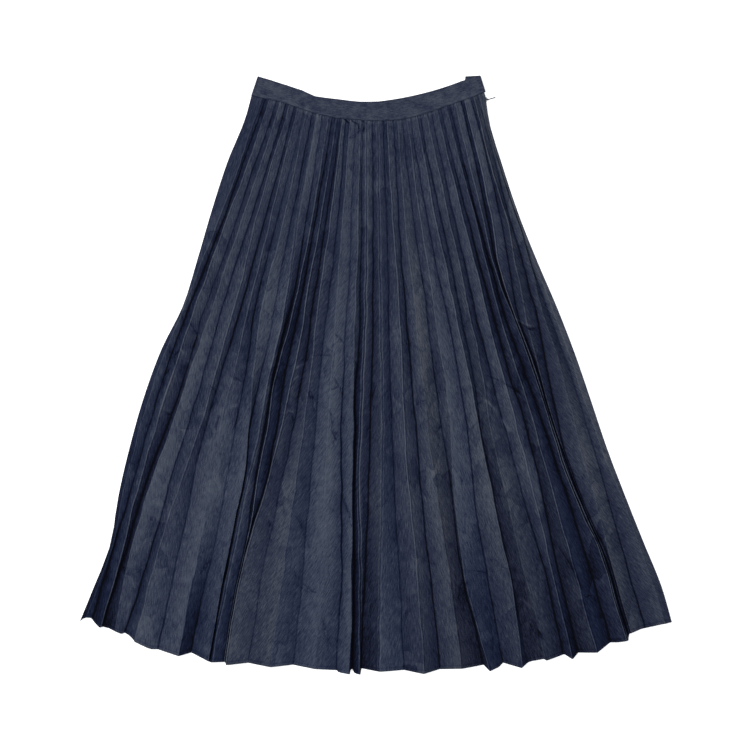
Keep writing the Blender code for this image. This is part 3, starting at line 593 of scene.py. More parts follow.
@dataclass(frozen=True)
class DenimFinish:
    """Light denim: indigo warp woven over a paler weft, pleated by heat and worn.

    Painted shade darkens the valleys, and the crests are worn grey with a painted highlight, which draws
    each fold as a line; slubs of uneven yarn run along the grain; the nap keeps it dull.

    Attributes:
        name: the material's name.
        black, deep, middle, wear_and_light: the colours from the deepest painted shade to the most worn
            and lit.
        deep_at, middle_at: the tones at which deep and middle stand.
        sheen_greying: how much colour a face loses that is both light and dull: a painted grey sheen.
        slub_width, slub_length, slub_gain: size of the slubs, and the tone that they add.
        slub_turned: metres for a unit of angle where the slubs follow the pleats.
        mottle, cloud: size of the clouds in the dye, and the tone that they add.
        speck, speck_gain: size of the neps, and the tone that they add.
        facet, facet_gain, facet_relief: small flat patches between soft creases, their painted light and
            shade, and their relief.
        facet_long, facet_bend: a patch's width over its length, and how far noise bends them.
        patch_from, patch_to: values of a coarser noise between which they set in.
        facet_edge, facet_dip: width of their edges, as a share, and how dark their painted shade is.
        fall_start, fall_end: radii between which the grain leaves the pleats' own direction.
        relief, relief_share: depth of the bump, and how much of it is used.
        roughness, specular: the nap's.
        turning: whether it is the pleated cloth, with folds, creases, patches and a hem.
        profile: how its fine lines look.
    """

    name: str
    black: str = "#01020A"
    deep: str = "#0B132A"
    middle: str = "#1F273B"
    wear_and_light: str = "#464D5B"
    deep_at: float = 0.25
    middle_at: float = 0.52
    sheen_greying: float = 0.95
    slub_width: float = 1.2 * MM   # yarn is 0.4 mm: drawn coarser, so that it shows
    slub_length: float = 13 * MM
    slub_gain: float = 0.9
    slub_turned: float = 0.75
    mottle: float = 38 * MM
    cloud: float = 0.16
    speck: float = 1.4 * MM        # neps are 0.5 mm: drawn coarser too
    speck_gain: float = 0.32
    facet: float = 14 * MM
    facet_gain: float = 0.19
    facet_relief: float = 3.0
    facet_long: float = 0.45
    facet_bend: tuple[float, float, float] = (20 * MM, 30 * MM, 0)
    patch_from: float = 0.42
    patch_to: float = 0.62
    facet_edge: float = 0.10
    facet_dip: float = -0.35
    fall_start: float = 0.72
    fall_end: float = 0.86
    relief: float = 0.3 * MM
    relief_share: float = 0.8
    roughness: float = 0.85
    specular: float = 0.08
    turning: bool = True
    profile: LineProfile = LineProfile()

    def slubs(self, material: bpy.types.Material, uv_map: str, reach: float) -> bpy.types.Node:
        """Makes slubs: noise stretched along V of a UV map.

        Args:
            material: the denim.
            uv_map: the map's name.
            reach: metres for a unit of its U.

        Returns:
            The noise's node.
        """
        grain = add_node(material, "ShaderNodeUVMap", uv_map=uv_map)
        place = add_node(material, "ShaderNodeMapping", {
            "Vector": grain, "Scale": (reach / self.slub_width, 1 / self.slub_length, 1)})
        return add_node(material, "ShaderNodeTexNoise", {
            "Vector": place, "Scale": 1.0, "Detail": 3.0, "Roughness": 0.65}, noise_dimensions="2D")

    def crumple(self, material: bpy.types.Material,
                place: bpy.types.NodeSocket) -> tuple[bpy.types.Node, bpy.types.Node]:
        """Makes patches as of handled cloth: cells twice as long as wide, bent by noise.

        Inside the patches the tone is the cell's own random shade less a half, painted light and shade as
        of a small facet turned to the light or away from it, with its soft edge dipped as painted shade in
        a small crease, times the gain, and the relief is that dip.

        Args:
            material: the denim.
            place: the socket that gives the place on the cloth.

        Returns:
            The tone that the cells and their edges add, and their relief.
        """
        bend = add_node(material, "ShaderNodeTexNoise", {
            "Vector": place, "Scale": 0.5 / self.facet, "Detail": 1.0})
        bent = add_node(material, "ShaderNodeVectorMath", {
            0: bend.outputs["Color"], 1: self.facet_bend, 2: place}, operation="MULTIPLY_ADD")
        cells = add_node(material, "ShaderNodeMapping", {
            "Vector": bent, "Scale": (1 / self.facet, self.facet_long / self.facet, 1)})
        cell = add_node(material, "ShaderNodeTexVoronoi", {"Vector": cells, "Scale": 1.0},
                        voronoi_dimensions="2D")
        edge = add_node(material, "ShaderNodeTexVoronoi", {"Vector": cells, "Scale": 1.0},
                        voronoi_dimensions="2D", feature="DISTANCE_TO_EDGE")
        # Each cell's random shade is painted light and shade of a small facet; its edge is painted shade
        shade = add_node(material, "ShaderNodeSeparateColor", {0: cell.outputs["Color"]})
        patches = add_node(material, "ShaderNodeTexNoise", {
            "Vector": place, "Scale": 0.22 / self.facet, "Detail": 1.0})
        mask = add_node(material, "ShaderNodeMapRange", {
            "Value": patches, "From Min": self.patch_from, "From Max": self.patch_to})
        line = add_node(material, "ShaderNodeMapRange", {
            "Value": edge, "From Max": self.facet_edge, "To Min": self.facet_dip, "To Max": 0.0})
        tone = add_node(material, MATH, {0: shade, 1: line})
        tone = add_node(material, MATH, {0: tone, 1: 0.5}, operation="SUBTRACT")
        tone = add_node(material, MATH, {0: tone, 1: mask}, operation="MULTIPLY")
        tone = add_node(material, MATH, {0: tone, 1: self.facet_gain}, operation="MULTIPLY")
        rise = add_node(material, MATH, {0: line, 1: mask}, operation="MULTIPLY")
        return tone, rise

    def weave(self, material: bpy.types.Material) -> bpy.types.Node:
        """Gives the slubs, along the pleats near the waist and along each face's grain below.

        Args:
            material: the denim.

        Returns:
            The node that gives them.
        """
        slub = self.slubs(material, "grain", 1.0)
        if not self.turning:
            return slub
        pleat = add_node(material, "ShaderNodeUVMap", uv_map="pleat")
        radius = add_node(material, "ShaderNodeSeparateXYZ", {0: pleat})
        fall = add_node(material, "ShaderNodeMapRange", {
            "Value": radius.outputs[1], "From Min": self.fall_start, "From Max": self.fall_end})
        upper = self.slubs(material, "pleat", self.slub_turned)
        return add_node(material, "ShaderNodeMix", {0: fall, 2: upper, 3: slub})

    def build(self) -> bpy.types.Material:
        """Makes the material: one tone, the sum of weave, wear and painted light and shade, picks the
        colour.

        Returns:
            A material that reads the UV map "grain" and the attributes "tone" and "dull", and on
            the pleated cloth also the map "pleat" and "fold", "lines", "crease" and "to_hem".
        """
        material, shader = new_material(self.name)
        tone = add_node(material, "ShaderNodeAttribute", attribute_name="tone").outputs["Fac"]
        slub = self.weave(material)
        place = add_node(material, "ShaderNodeTexCoord").outputs["Object"]
        mottle = add_node(material, "ShaderNodeTexNoise", {
            "Vector": place, "Scale": 1 / self.mottle, "Detail": 2.0})
        speck = add_node(material, "ShaderNodeTexNoise", {
            "Vector": place, "Scale": 1 / self.speck, "Detail": 1.0})
        streaks, cloudy, speckled = (
            add_node(material, MATH, {0: noise, 1: gain, 2: -gain / 2}, operation="MULTIPLY_ADD")
            for noise, gain in ((slub, self.slub_gain), (mottle, self.cloud), (speck, self.speck_gain)))
        added, height = [cloudy, speckled, tone], slub
        if self.turning:
            facets, rise = self.crumple(material, place)
            added += [facets, self.profile.creases(material), self.profile.folds(material)]
            height = add_node(material, MATH, {0: rise, 1: self.facet_relief, 2: slub},
                              operation="MULTIPLY_ADD")
        # The tone: weave and wear, with the painted light and shade of faces, folds, creases and patches
        wear_and_light = streaks
        for part in added:
            wear_and_light = add_node(material, MATH, {0: wear_and_light, 1: part})
        if self.turning:
            wear_and_light.use_clamp = True
            wear_and_light, height = self.profile.hem(material, wear_and_light, height)
        # The ramp turns the tone into colour, from the black of painted shade to the grey of wear and
        # painted light
        tint = add_node(material, "ShaderNodeValToRGB", {"Fac": wear_and_light})
        ramp = tint.color_ramp
        ramp.elements[0].color, ramp.elements[1].color = linear(self.black), linear(self.wear_and_light)
        ramp.elements.new(self.deep_at).color = linear(self.deep)
        ramp.elements.new(self.middle_at).color = linear(self.middle)
        # A painted sheen: the faces marked dull lose colour as their tone rises
        grey = add_node(material, "ShaderNodeAttribute", attribute_name="dull").outputs["Fac"]
        sheen_share = add_node(material, MATH, {0: grey, 1: wear_and_light}, operation="MULTIPLY")
        kept = add_node(material, MATH, {0: sheen_share, 1: -self.sheen_greying, 2: 1.0}, operation="MULTIPLY_ADD")
        tint = add_node(material, "ShaderNodeHueSaturation", {"Saturation": kept, "Color": tint})
        bump = add_node(material, "ShaderNodeBump", {
            "Height": height, "Distance": self.relief, "Strength": self.relief_share})
        material.node_tree.links.new(tint.outputs[0], shader.inputs["Base Color"])
        material.node_tree.links.new(bump.outputs[0], shader.inputs["Normal"])
        shader.inputs["Roughness"].default_value = self.roughness
        shader.inputs["Specular IOR Level"].default_value = self.specular
        return material


@dataclass(frozen=True)
class ZipFinish:
    """The zip's own finishes: moulded nylon teeth, and dark enamel on the slider and its tab.

    Attributes:
        pitch: from one tooth to the next.
        lean: degrees by which the zip leans from Y.
        tooth, gap_shade: colours of the teeth and of the painted shade between them.
        tooth_depth, tooth_bump, tooth_gloss: their relief, its strength and their roughness.
        enamel, rubbed: colours of the enamel, whole and rubbed.
        spot, rub_from, rub_to: size of the rubbed spots, and values of noise where they set in.
        smooth, dull: roughness of the enamel, from the whole to the rubbed.
        gloss_from, gloss_to: values of the same noise between which it changes.
        peel, peel_depth, peel_bump: size and depth of its orange-peel skin, and its strength.
    """

    pitch: float = 1.3 * MM
    lean: float = 16.5
    tooth: str = "#1B1F2B"
    gap_shade: str = "#070910"
    tooth_depth: float = 0.5 * MM
    tooth_bump: float = 0.9
    tooth_gloss: float = 0.45
    enamel: str = "#151823"
    rubbed: str = "#343844"
    spot: float = 1.6 * MM
    rub_from: float = 0.5
    rub_to: float = 0.78
    smooth: float = 0.32
    dull: float = 0.55
    gloss_from: float = 0.3
    gloss_to: float = 0.7
    peel: float = 0.5 * MM
    peel_depth: float = 0.05 * MM
    peel_bump: float = 0.4

    def teeth(self) -> bpy.types.Material:
        """Makes bands across the zip, one for each pair of teeth, raised and a little lighter, with
        painted shade between them.

        Moulded nylon has a soft shine, so that each pair shows as a fine rung.

        Returns:
            The moulded nylon.
        """
        material, shader = new_material("nylon_teeth")
        place = add_node(material, "ShaderNodeTexCoord")
        turned = add_node(material, "ShaderNodeMapping", {
            "Vector": place.outputs["Object"], "Rotation": (0, 0, math.radians(-self.lean))})
        # A wave has a band for each ten units of phase over pi
        bands = add_node(material, "ShaderNodeTexWave", {
            "Vector": turned, "Scale": math.pi / (10 * self.pitch), "Distortion": 0.0},
            bands_direction="Y").outputs["Fac"]
        tint = add_node(material, "ShaderNodeValToRGB", {"Fac": bands})
        low, high = tint.color_ramp.elements
        # Near black between the teeth: painted shade
        low.color, high.color = linear(self.gap_shade), linear(self.tooth)
        bump = add_node(material, "ShaderNodeBump", {
            "Height": bands, "Distance": self.tooth_depth, "Strength": self.tooth_bump})
        material.node_tree.links.new(tint.outputs[0], shader.inputs["Base Color"])
        material.node_tree.links.new(bump.outputs[0], shader.inputs["Normal"])
        shader.inputs["Roughness"].default_value = self.tooth_gloss
        return material

    def painted(self) -> bpy.types.Material:
        """Makes enamel, sprayed on cast metal and rubbed paler in spots.

        Its orange-peel skin breaks up the light that it throws back.

        Returns:
            The enamel.
        """
        material, shader = new_material("dark_enamel")
        place = add_node(material, "ShaderNodeTexCoord").outputs["Object"]
        spots = add_node(material, "ShaderNodeTexNoise", {
            "Vector": place, "Scale": 1 / self.spot, "Detail": 3.0})
        tint = add_node(material, "ShaderNodeValToRGB", {"Fac": spots})
        low, high = tint.color_ramp.elements
        low.position, high.position = self.rub_from, self.rub_to
        low.color, high.color = linear(self.enamel), linear(self.rubbed)
        gloss = add_node(material, "ShaderNodeMapRange", {
            "Value": spots, "From Min": self.gloss_from, "From Max": self.gloss_to,
            "To Min": self.smooth, "To Max": self.dull})
        skin = add_node(material, "ShaderNodeTexNoise", {
            "Vector": place, "Scale": 1 / self.peel, "Detail": 1.0})
        bump = add_node(material, "ShaderNodeBump", {
            "Height": skin, "Distance": self.peel_depth, "Strength": self.peel_bump})
        for source, name in ((tint, "Base Color"), (gloss, "Roughness"), (bump, "Normal")):
            material.node_tree.links.new(source.outputs[0], shader.inputs[name])
        return material

    def apply(self) -> bpy.types.Material:
        """Gives the zip's solids, which are shown as they are, their finishes.

        Returns:
            The enamel, for the pull tab.
        """
        painted = self.painted()
        for node, material in (("zip_coil", self.teeth()), ("zip_slider", painted)):
            for slot in bpy.data.objects[node].material_slots:
                slot.material = material
            LOG.info("%s: the packed solid in %s", node, material.name)
        return painted


def put_mesh(name: str, points: np.ndarray, faces: list[np.ndarray], material: bpy.types.Material,
             smooth: bool = True) -> bpy.types.Object:
    """Makes an object at the origin from arrays.

    Args:
        name: the piece's name.
        points: n by 3 places.
        faces: arrays of corner numbers, one array for each count of corners.
        material: what it is made of.
        smooth: whether its shading is smooth.

    Returns:
        The new object.
    """
    mesh = bpy.data.meshes.new(name)
    corners = np.concatenate([f.ravel() for f in faces]).astype(np.int32)
    counts = np.concatenate([np.full(len(f), f.shape[1]) for f in faces])
    starts = np.concatenate([[0], np.cumsum(counts)[:-1]]).astype(np.int32)
    mesh.vertices.add(len(points))
    mesh.vertices.foreach_set("co", np.ascontiguousarray(points, dtype=np.float32).ravel())
    mesh.loops.add(len(corners))
    mesh.loops.foreach_set("vertex_index", corners)
    mesh.polygons.add(len(counts))
    mesh.polygons.foreach_set("loop_start", starts)
    mesh.update(calc_edges=True)
    mesh.validate()
    mesh.polygons.foreach_set("use_smooth", np.full(len(counts), smooth))
    mesh.materials.append(material)
    thing = bpy.data.objects.new(name, mesh)
    bpy.context.scene.collection.objects.link(thing)
    return thing


def add_values(thing: bpy.types.Object, label: str, values: np.ndarray) -> None:
    """Adds a point attribute, a number or a vector for each point.

    Args:
        thing: the piece.
        label: the attribute's name.
        values: n numbers, or n by 3 for vectors.
    """
    kind, key = ("FLOAT", "value") if values.ndim == 1 else ("FLOAT_VECTOR", "vector")
    layer = thing.data.attributes.new(label, kind, "POINT")
    layer.data.foreach_set(key, values.astype(np.float32).ravel())


def add_map(thing: bpy.types.Object, label: str, u: np.ndarray, v: np.ndarray) -> None:
    """Adds a UV map from a value for each corner in either direction.

    Args:
        thing: the piece.
        label: the map's name.
        u: across, metres or radians.
        v: along.
    """
    layer = thing.data.uv_layers.new(name=label)
    layer.uv.foreach_set("vector", np.stack([u, v], axis=-1).astype(np.float32).ravel())


def column(rows: tuple, name: str) -> np.ndarray:
    """One named column of a table, as an array."""
    return np.array([getattr(row, name) for row in rows])


def bell(distance: np.ndarray, width: float | np.ndarray) -> np.ndarray:
    """One at a line, falling to 0.37 at a width from it: e to the minus square of their ratio."""
    return np.exp(-(distance / width) ** 2)


def curve_through(levels: tuple[float, ...], values: np.ndarray, at: np.ndarray) -> np.ndarray:
    """Reads smooth curves, each a cubic between levels with the mean slopes at them.

    Args:
        levels: where the values stand, rising.
        values: curves by levels.
        at: rows by curves, or rows alone, where each curve is read.

    Returns:
        Rows by curves.
    """
    levels = np.asarray(levels)
    slopes = np.gradient(values, levels, axis=1)
    if at.ndim == 1:
        at = np.repeat(at[:, None], len(values), axis=1)
    k = np.clip(np.searchsorted(levels, at, side="right") - 1, 0, len(levels) - 2)
    pick = np.arange(len(values))[None, :]
    step = levels[k + 1] - levels[k]
    t = np.clip((at - levels[k]) / step, -0.2, 1.2)
    start = (1 + 2 * t) * (1 - t) ** 2 * values[pick, k] + t * (1 - t) ** 2 * step * slopes[pick, k]
    end = t * t * (3 - 2 * t) * values[pick, k + 1] + t * t * (t - 1) * step * slopes[pick, k + 1]
    return start + end


def soft_noise(place: np.ndarray, curves: int, every: float, seed: int) -> np.ndarray:
    """Makes smooth random curves between -1 and 1: random values joined by cosine steps.

    Args:
        place: where the curves are read, from nothing up.
        curves: how many curves.
        every: distance from one random value to the next.
        seed: of the random values.

    Returns:
        Places by curves.
    """
    random = np.random.default_rng(seed)
    knots = random.uniform(-1, 1, (int(place.max() / every) + 3, curves))
    place = place[:, None] / every + random.uniform(0, 1, curves)
    low = place.astype(int)
    blend = (1 - np.cos(np.pi * (place - low))) / 2
    pick = np.arange(curves)[None, :]
    return knots[low, pick] * (1 - blend) + knots[low + 1, pick] * blend


def patchy_noise(across: np.ndarray, along: np.ndarray, seed: int) -> np.ndarray:
    """Makes smooth random patches between -1 and 1, one unit in size: cosine steps both ways.

    Args:
        across: where they are read, in patches.
        along: the same the other way.
        seed: of the random values.

    Returns:
        A value for each place.
    """
    random = np.random.default_rng(seed)
    across, along = across - across.min(), along - along.min()
    knots = random.uniform(-1, 1, (int(across.max()) + 2, int(along.max()) + 2))
    i, j = across.astype(int), along.astype(int)
    u = (1 - np.cos(np.pi * (across - i))) / 2
    v = (1 - np.cos(np.pi * (along - j))) / 2
    near = knots[i, j] * (1 - v) + knots[i, j + 1] * v
    far = knots[i + 1, j] * (1 - v) + knots[i + 1, j + 1] * v
    return near * (1 - u) + far * u


def row_shares(step: int) -> np.ndarray:
    """Places the rows of points so that the gaps between them follow ROW_GAPS.

    Args:
        step: their count is a multiple of this, plus one.

    Returns:
        Each row's share of the way to the hem.
    """
    fine = np.linspace(0, 1, 2000)
    shares, gaps = zip(*ROW_GAPS)
    count = np.concatenate([[0], np.cumsum((HEM_LEVEL - SEAM_LEVEL) * np.diff(fine)
                                           / np.interp(fine[1:], shares, gaps))])
    rows = step * round(count[-1] / step)
    return np.interp(np.linspace(0, count[-1], rows + 1), count, fine)


def fan_points(degrees: np.ndarray, radii: np.ndarray, heights: np.ndarray) -> np.ndarray:
    """Turns angles, radii and heights on the fan into places in space.

    Args:
        degrees: angles from the centre front.
        radii: metres from the fan's centre.
        heights: metres above the surface.

    Returns:
        The places, with X, Y and Z last.
    """
    angle = np.radians(degrees)
    x = FAN_CENTRE[0] + radii * np.sin(angle)
    y = FAN_CENTRE[1] - radii * np.cos(angle)
    return np.stack([x, y, heights + 0 * x], axis=-1)


def band_bottom(degrees: np.ndarray) -> np.ndarray:
    """Reads the waistband's lower edge from a smooth curve through its stations.

    Args:
        degrees: angles from the centre front, in an array of any shape.

    Returns:
        The edge's radii, in the same shape.
    """
    flat = np.ravel(degrees)
    read = curve_through(tuple(column(BAND, "degrees")), column(BAND, "bottom")[None, :], flat)
    return read[:, 0].reshape(np.shape(degrees))


def radius_at(degrees: np.ndarray, share: np.ndarray, short: float = 0.0) -> np.ndarray:
    """Gives the radius of a place between the band's seam (share 0) and the hem's edge (share 1).

    Args:
        degrees: angles from the centre front.
        share: of the way to the hem.
        short: metres by which the hem is shorter than it was read.

    Returns:
        The radii.
    """
    seam = band_bottom(degrees) - BAND_TUCK
    hem = np.interp(degrees, column(HEM_EDGE, "degrees"), column(HEM_EDGE, "radius")) - short
    return seam + share * (hem - seam)


@dataclass
class PleatedCloth:
    """The pleated cloth as a height field on the fan, shared by the front and the back.

    Attributes:
        step: upper rows to one row of the under side.
        narrowest: metres that are kept between neighbouring folds.
        steepest: a face's rise over its width, at the most.
        crest_round, valley_round: radius of a crest and of a valley.
        near_fold, near_share: metres from each fold at which the cloth has columns of points,
            and the most that they may be of the face's width.
        inner_gap: width of a face at the hem for each column between them.
        wobble, wobble_every, wobble_waist: how far the fold lines stray, how often, and which
            share of it is left at the waist.
        lift_sway, lift_every: how the heights vary along a fold, as a share, and how often.
        side_out: how far the side seams stand outside their readings.
        valley_shade, crest_shine, shade_reach: wide shading of a face by its valley and its
            crest, and how far it reaches, as a share of the face.
        waist_shade, waist_valley, waist_crest: shares of the wide shading and of the folds' own
            lines that are left at the waist.
        shade_full, line_full: shares of the way to the hem from which they are whole.
        gather, gather_reach: height of the small puckers under the waistband, and how far they run.
        gather_start: millimetres below the band in which they set in.
        patches: millimetres across and along, and the seed, of the puckers, the finer ones, the
            arches and the faces' swells.
        arch_below, arch_width: millimetres below the band at which small arches lie, and their width.
        arch_tone, arch_height: what they add: painted light on their raised tops, and height.
        uneven: how far the faces are from flat.
        share: each row's share of the way to the hem.
        degrees, radii, heights: rows by columns, the cloth itself.
        tone, dull: how light it looks, wear with painted light and shade, and how grey, a painted sheen.
        fold, lines: distances to the crest and the valley of the face and which side it is on,
            and the strengths of their lines and whether the crest is piped.
        face_of: number of the face that each column starts.
    """

    step: int = 8
    narrowest: float = 1.3 * MM
    steepest: float = 2.6
    crest_round: float = 0.5 * MM
    valley_round: float = 0.5 * MM
    near_fold: tuple[float, ...] = (0.8 * MM, 2.4 * MM)
    near_share: tuple[float, ...] = (0.14, 0.36)
    inner_gap: float = 6 * MM
    wobble: float = 1.1 * MM
    wobble_every: float = 0.036
    wobble_waist: float = 0.35
    lift_sway: float = 0.10
    lift_every: float = 0.075
    side_out: float = 1.6 * MM
    valley_shade: float = -0.20
    crest_shine: float = 0.06
    shade_reach: float = 0.5
    waist_shade: float = 0.25
    waist_valley: float = 0.7
    waist_crest: float = 0.5
    shade_full: float = 0.35
    line_full: float = 0.12
    gather: float = 0.8 * MM
    gather_reach: float = 50 * MM
    gather_start: float = 3.0
    patches: tuple[tuple[float, float, int], ...] = (
        (4.6, 34, 21), (2.3, 12, 22), (3.4, 9, 24), (14, 42, 23))
    arch_below: float = 2.6
    arch_width: float = 2.4
    arch_tone: float = 0.16
    arch_height: float = 0.5 * MM
    uneven: float = 0.35 * MM
    share: np.ndarray = field(init=False)
    degrees: np.ndarray = field(init=False)
    radii: np.ndarray = field(init=False)
    heights: np.ndarray = field(init=False)
    tone: np.ndarray = field(init=False)
    dull: np.ndarray = field(init=False)
    fold: np.ndarray = field(init=False)
    lines: np.ndarray = field(init=False)
    face_of: np.ndarray = field(init=False)

    def __post_init__(self) -> None:
        """Works out the folds, then every column of points between them."""
        self.share = row_shares(self.step)[:, None]
        angles, radii = self.fold_angles()
        self.fill_faces(angles, radii, self.fold_lifts(angles, radii))
        self.roughen()

    def fold_angles(self) -> tuple[np.ndarray, np.ndarray]:
        """Finds every fold on every row, folds that meet kept a little apart.

        The angle depends on the radius and the radius on the angle, so both are found in turns.

        Returns:
            Angles and radii, rows by folds.
        """
        share = self.share
        readings = np.array([fold.degrees for fold in FOLDS])
        radii = SEAM_LEVEL + share * (HEM_LEVEL - SEAM_LEVEL) + np.zeros((1, len(FOLDS)))
        for _ in range(4):
            angles = curve_through(READ_RADII, readings, radii)
            radii = radius_at(angles, share)
        stray = soft_noise(share[:, 0], len(FOLDS), self.wobble_every, 11) * self.wobble / radii
        stray *= self.wobble_waist + (1 - self.wobble_waist) * np.clip(share / 0.3, 0, 1)
        stray[:, [0, -1]] = 0
        across = np.radians(angles) * radii + stray * radii
        for _ in range(200):
            short = np.clip(self.narrowest - np.diff(across, axis=1), 0, None) / 2
            across[:, 1:-2] -= short[:, 1:-1]
            across[:, 2:-1] += short[:, 1:-1]
            across[:, 1] += short[:, 0]
            across[:, -2] -= short[:, -1]
        across[:, 0] -= self.side_out
        across[:, -1] += self.side_out
        return np.degrees(across / radii), radii

    def fold_lifts(self, angles: np.ndarray, radii: np.ndarray) -> np.ndarray:
        """Finds the height of every fold, no crest higher than its faces can be steep.

        Args:
            angles: rows by folds.
            radii: rows by folds.

        Returns:
            Heights, rows by folds.
        """
        share = self.share[:, 0]
        lifts = np.array([(f.lift[0] * SEAM_LIFT_SHARE, f.lift[0] * WAIST_LIFT_SHARE, *f.lift[1:])
                          for f in FOLDS]) * MM
        level = SEAM_LEVEL + share * (HEM_LEVEL - SEAM_LEVEL)
        heights = np.clip(curve_through(LIFT_RADII, lifts, level), 0, None)
        heights *= 1 + self.lift_sway * soft_noise(share, len(FOLDS), self.lift_every, 12)
        room = np.diff(np.radians(angles) * radii, axis=1) * self.steepest
        crests = np.arange(1, len(FOLDS) - 1, 2)
        most = np.minimum(heights[:, crests - 1] + room[:, crests - 1],
                          heights[:, crests + 1] + room[:, crests])
        heights[:, crests] = np.minimum(heights[:, crests], most)
        return heights

    def profile(self, x: np.ndarray, width: np.ndarray, start_is_crest: bool) -> np.ndarray:
        """Gives how far a face has come from its first fold's height to its second's.

        It is the difference of two hyperbolas, one at each fold, so that the face is straight
        between and rounded at both ends.

        Args:
            x: metres from the first fold.
            width: the face's width on each row.
            start_is_crest: whether the first fold is the crest.

        Returns:
            Shares from nothing to one.
        """
        first, second = ((self.crest_round, self.valley_round) if start_is_crest
                         else (self.valley_round, self.crest_round))
        rise = np.hypot(x, first) - np.hypot(width - x, second) + np.hypot(width, second) - first
        return rise / (np.hypot(width, first) - first + np.hypot(width, second) - second)

    def fill_faces(self, angles: np.ndarray, radii: np.ndarray, lifts: np.ndarray) -> None:
        """Fills each face with columns and gives them heights, tones and distances to its folds.

        Args:
            angles: of the folds, rows by folds.
            radii: the same.
            lifts: heights, the same.
        """
        share = self.share
        widths = np.diff(np.radians(angles) * radii, axis=1)
        parts: dict[str, list[np.ndarray]] = {
            name: [] for name in ("degrees", "heights", "tone", "dull", "fold", "lines")}
        faces = []
        wide = self.waist_shade + (1 - self.waist_shade) * np.clip(share / self.shade_full, 0, 1)
        soft, faint = (low + (1 - low) * np.clip(share / self.line_full, 0, 1)
                       for low in (self.waist_valley, self.waist_crest))
        level = SEAM_LEVEL + share[:, 0] * (HEM_LEVEL - SEAM_LEVEL)
        # Each face's tone is painted light and shade of the face, with its wear; the bells below add
        # painted shade by the valley and painted light by the crest
        tones = [TONE_MIDDLE + TONE_SPREAD * (np.interp(level, TONE_RADII, fold.tone)[:, None] - 5)
                 for fold in FOLDS]
        lines = [np.interp(level, TONE_RADII, fold.line)[:, None] / 10 for fold in FOLDS]
        for j in range(len(FOLDS) - 1):
            width = widths[:, j:j + 1]
            middle = 1 + int(np.clip(width[-1, 0] / self.inner_gap, 0, 4))
            near = np.minimum(np.array(self.near_fold) / width, np.array(self.near_share))
            inner = near[:, -1:] + (1 - 2 * near[:, -1:]) * np.linspace(0, 1, middle + 1)[None, 1:-1]
            t = np.hstack([0 * width, near, inner, 1 - near[:, ::-1]])
            x = t * width
            start_is_crest = j % 2 == 1
            rise = self.profile(x, width, start_is_crest)
            crest, valley = (j, j + 1) if start_is_crest else (j + 1, j)
            to_crest, to_valley = (x, width - x) if start_is_crest else (width - x, x)
            reach = self.shade_reach * width
            tone = tones[j] + self.valley_shade * wide * lines[valley] * bell(to_valley, reach)
            tone = tone + self.crest_shine * wide * bell(to_crest, reach)
            # How grey each face is painted, a painted sheen
            upper, lower = FOLDS[j].dull
            parts["degrees"].append(angles[:, j:j + 1] * (1 - t) + angles[:, j + 1:j + 2] * t)
            parts["heights"].append(lifts[:, j:j + 1] * (1 - rise) + lifts[:, j + 1:j + 2] * rise)
            parts["tone"].append(tone)
            parts["dull"].append((upper + (lower - upper) * share) / 10 + 0 * t)
            parts["fold"].append(np.stack([to_crest, to_valley, float(start_is_crest) + 0 * t], axis=-1))
            parts["lines"].append(np.stack([
                faint * lines[crest] + 0 * t, soft * lines[valley] + 0 * t,
                float(FOLDS[crest].piped) + 0 * t], axis=-1))
            faces.append(np.full(t.shape[1], j))
        ends = {"degrees": angles[:, -1:], "heights": lifts[:, -1:]}
        for name, grids in parts.items():
            setattr(self, name, np.hstack([*grids, ends.get(name, grids[-1][:, -1:])]))
        self.face_of = np.concatenate([*faces, [len(FOLDS) - 2]])
        self.radii = radius_at(self.degrees, share)

    def roughen(self) -> None:
        """Adds the small puckers and arches under the waistband, with painted light on the arches' tops,
        and the unevenness of the faces.

        Each is patchy noise of its own size, in millimetres across and along, times a fade.
        """
        arc = np.radians(self.degrees) * self.radii / MM
        below = (self.radii - band_bottom(self.degrees)) / MM
        run = np.clip(below, 0, None) * MM / self.gather_reach
        fade = np.clip(below / self.gather_start, 0, 1) * np.exp(-run ** 1.3)
        pucker, fine, arch, swell = (patchy_noise(arc / across, below / along, seed)
                                     for across, along, seed in self.patches)
        arches = bell(below - self.arch_below, self.arch_width) * (0.5 + arch)
        # Painted light on the arches' raised tops
        self.tone = self.tone + self.arch_tone * arches
        self.heights = (self.heights + self.gather * fade * (0.6 + (pucker + 0.9 * fine))
                        + self.arch_height * np.clip(arches, 0, 1)
                        + self.uneven * np.clip(self.share * 6, 0, 1) * (0.7 + swell))

    def grain_degrees(self) -> np.ndarray:
        """Reads the grain's direction on each face, from places in the photograph.

        Returns:
            Degrees from Y towards +X, one for each face.
        """
        middle = np.array([(FOLDS[j].degrees[GRAIN_LEVEL] + FOLDS[j + 1].degrees[GRAIN_LEVEL]) / 2
                           for j in range(len(FOLDS) - 1)])
        return np.interp(middle, GRAIN_PLACES, GRAIN_TURNS)


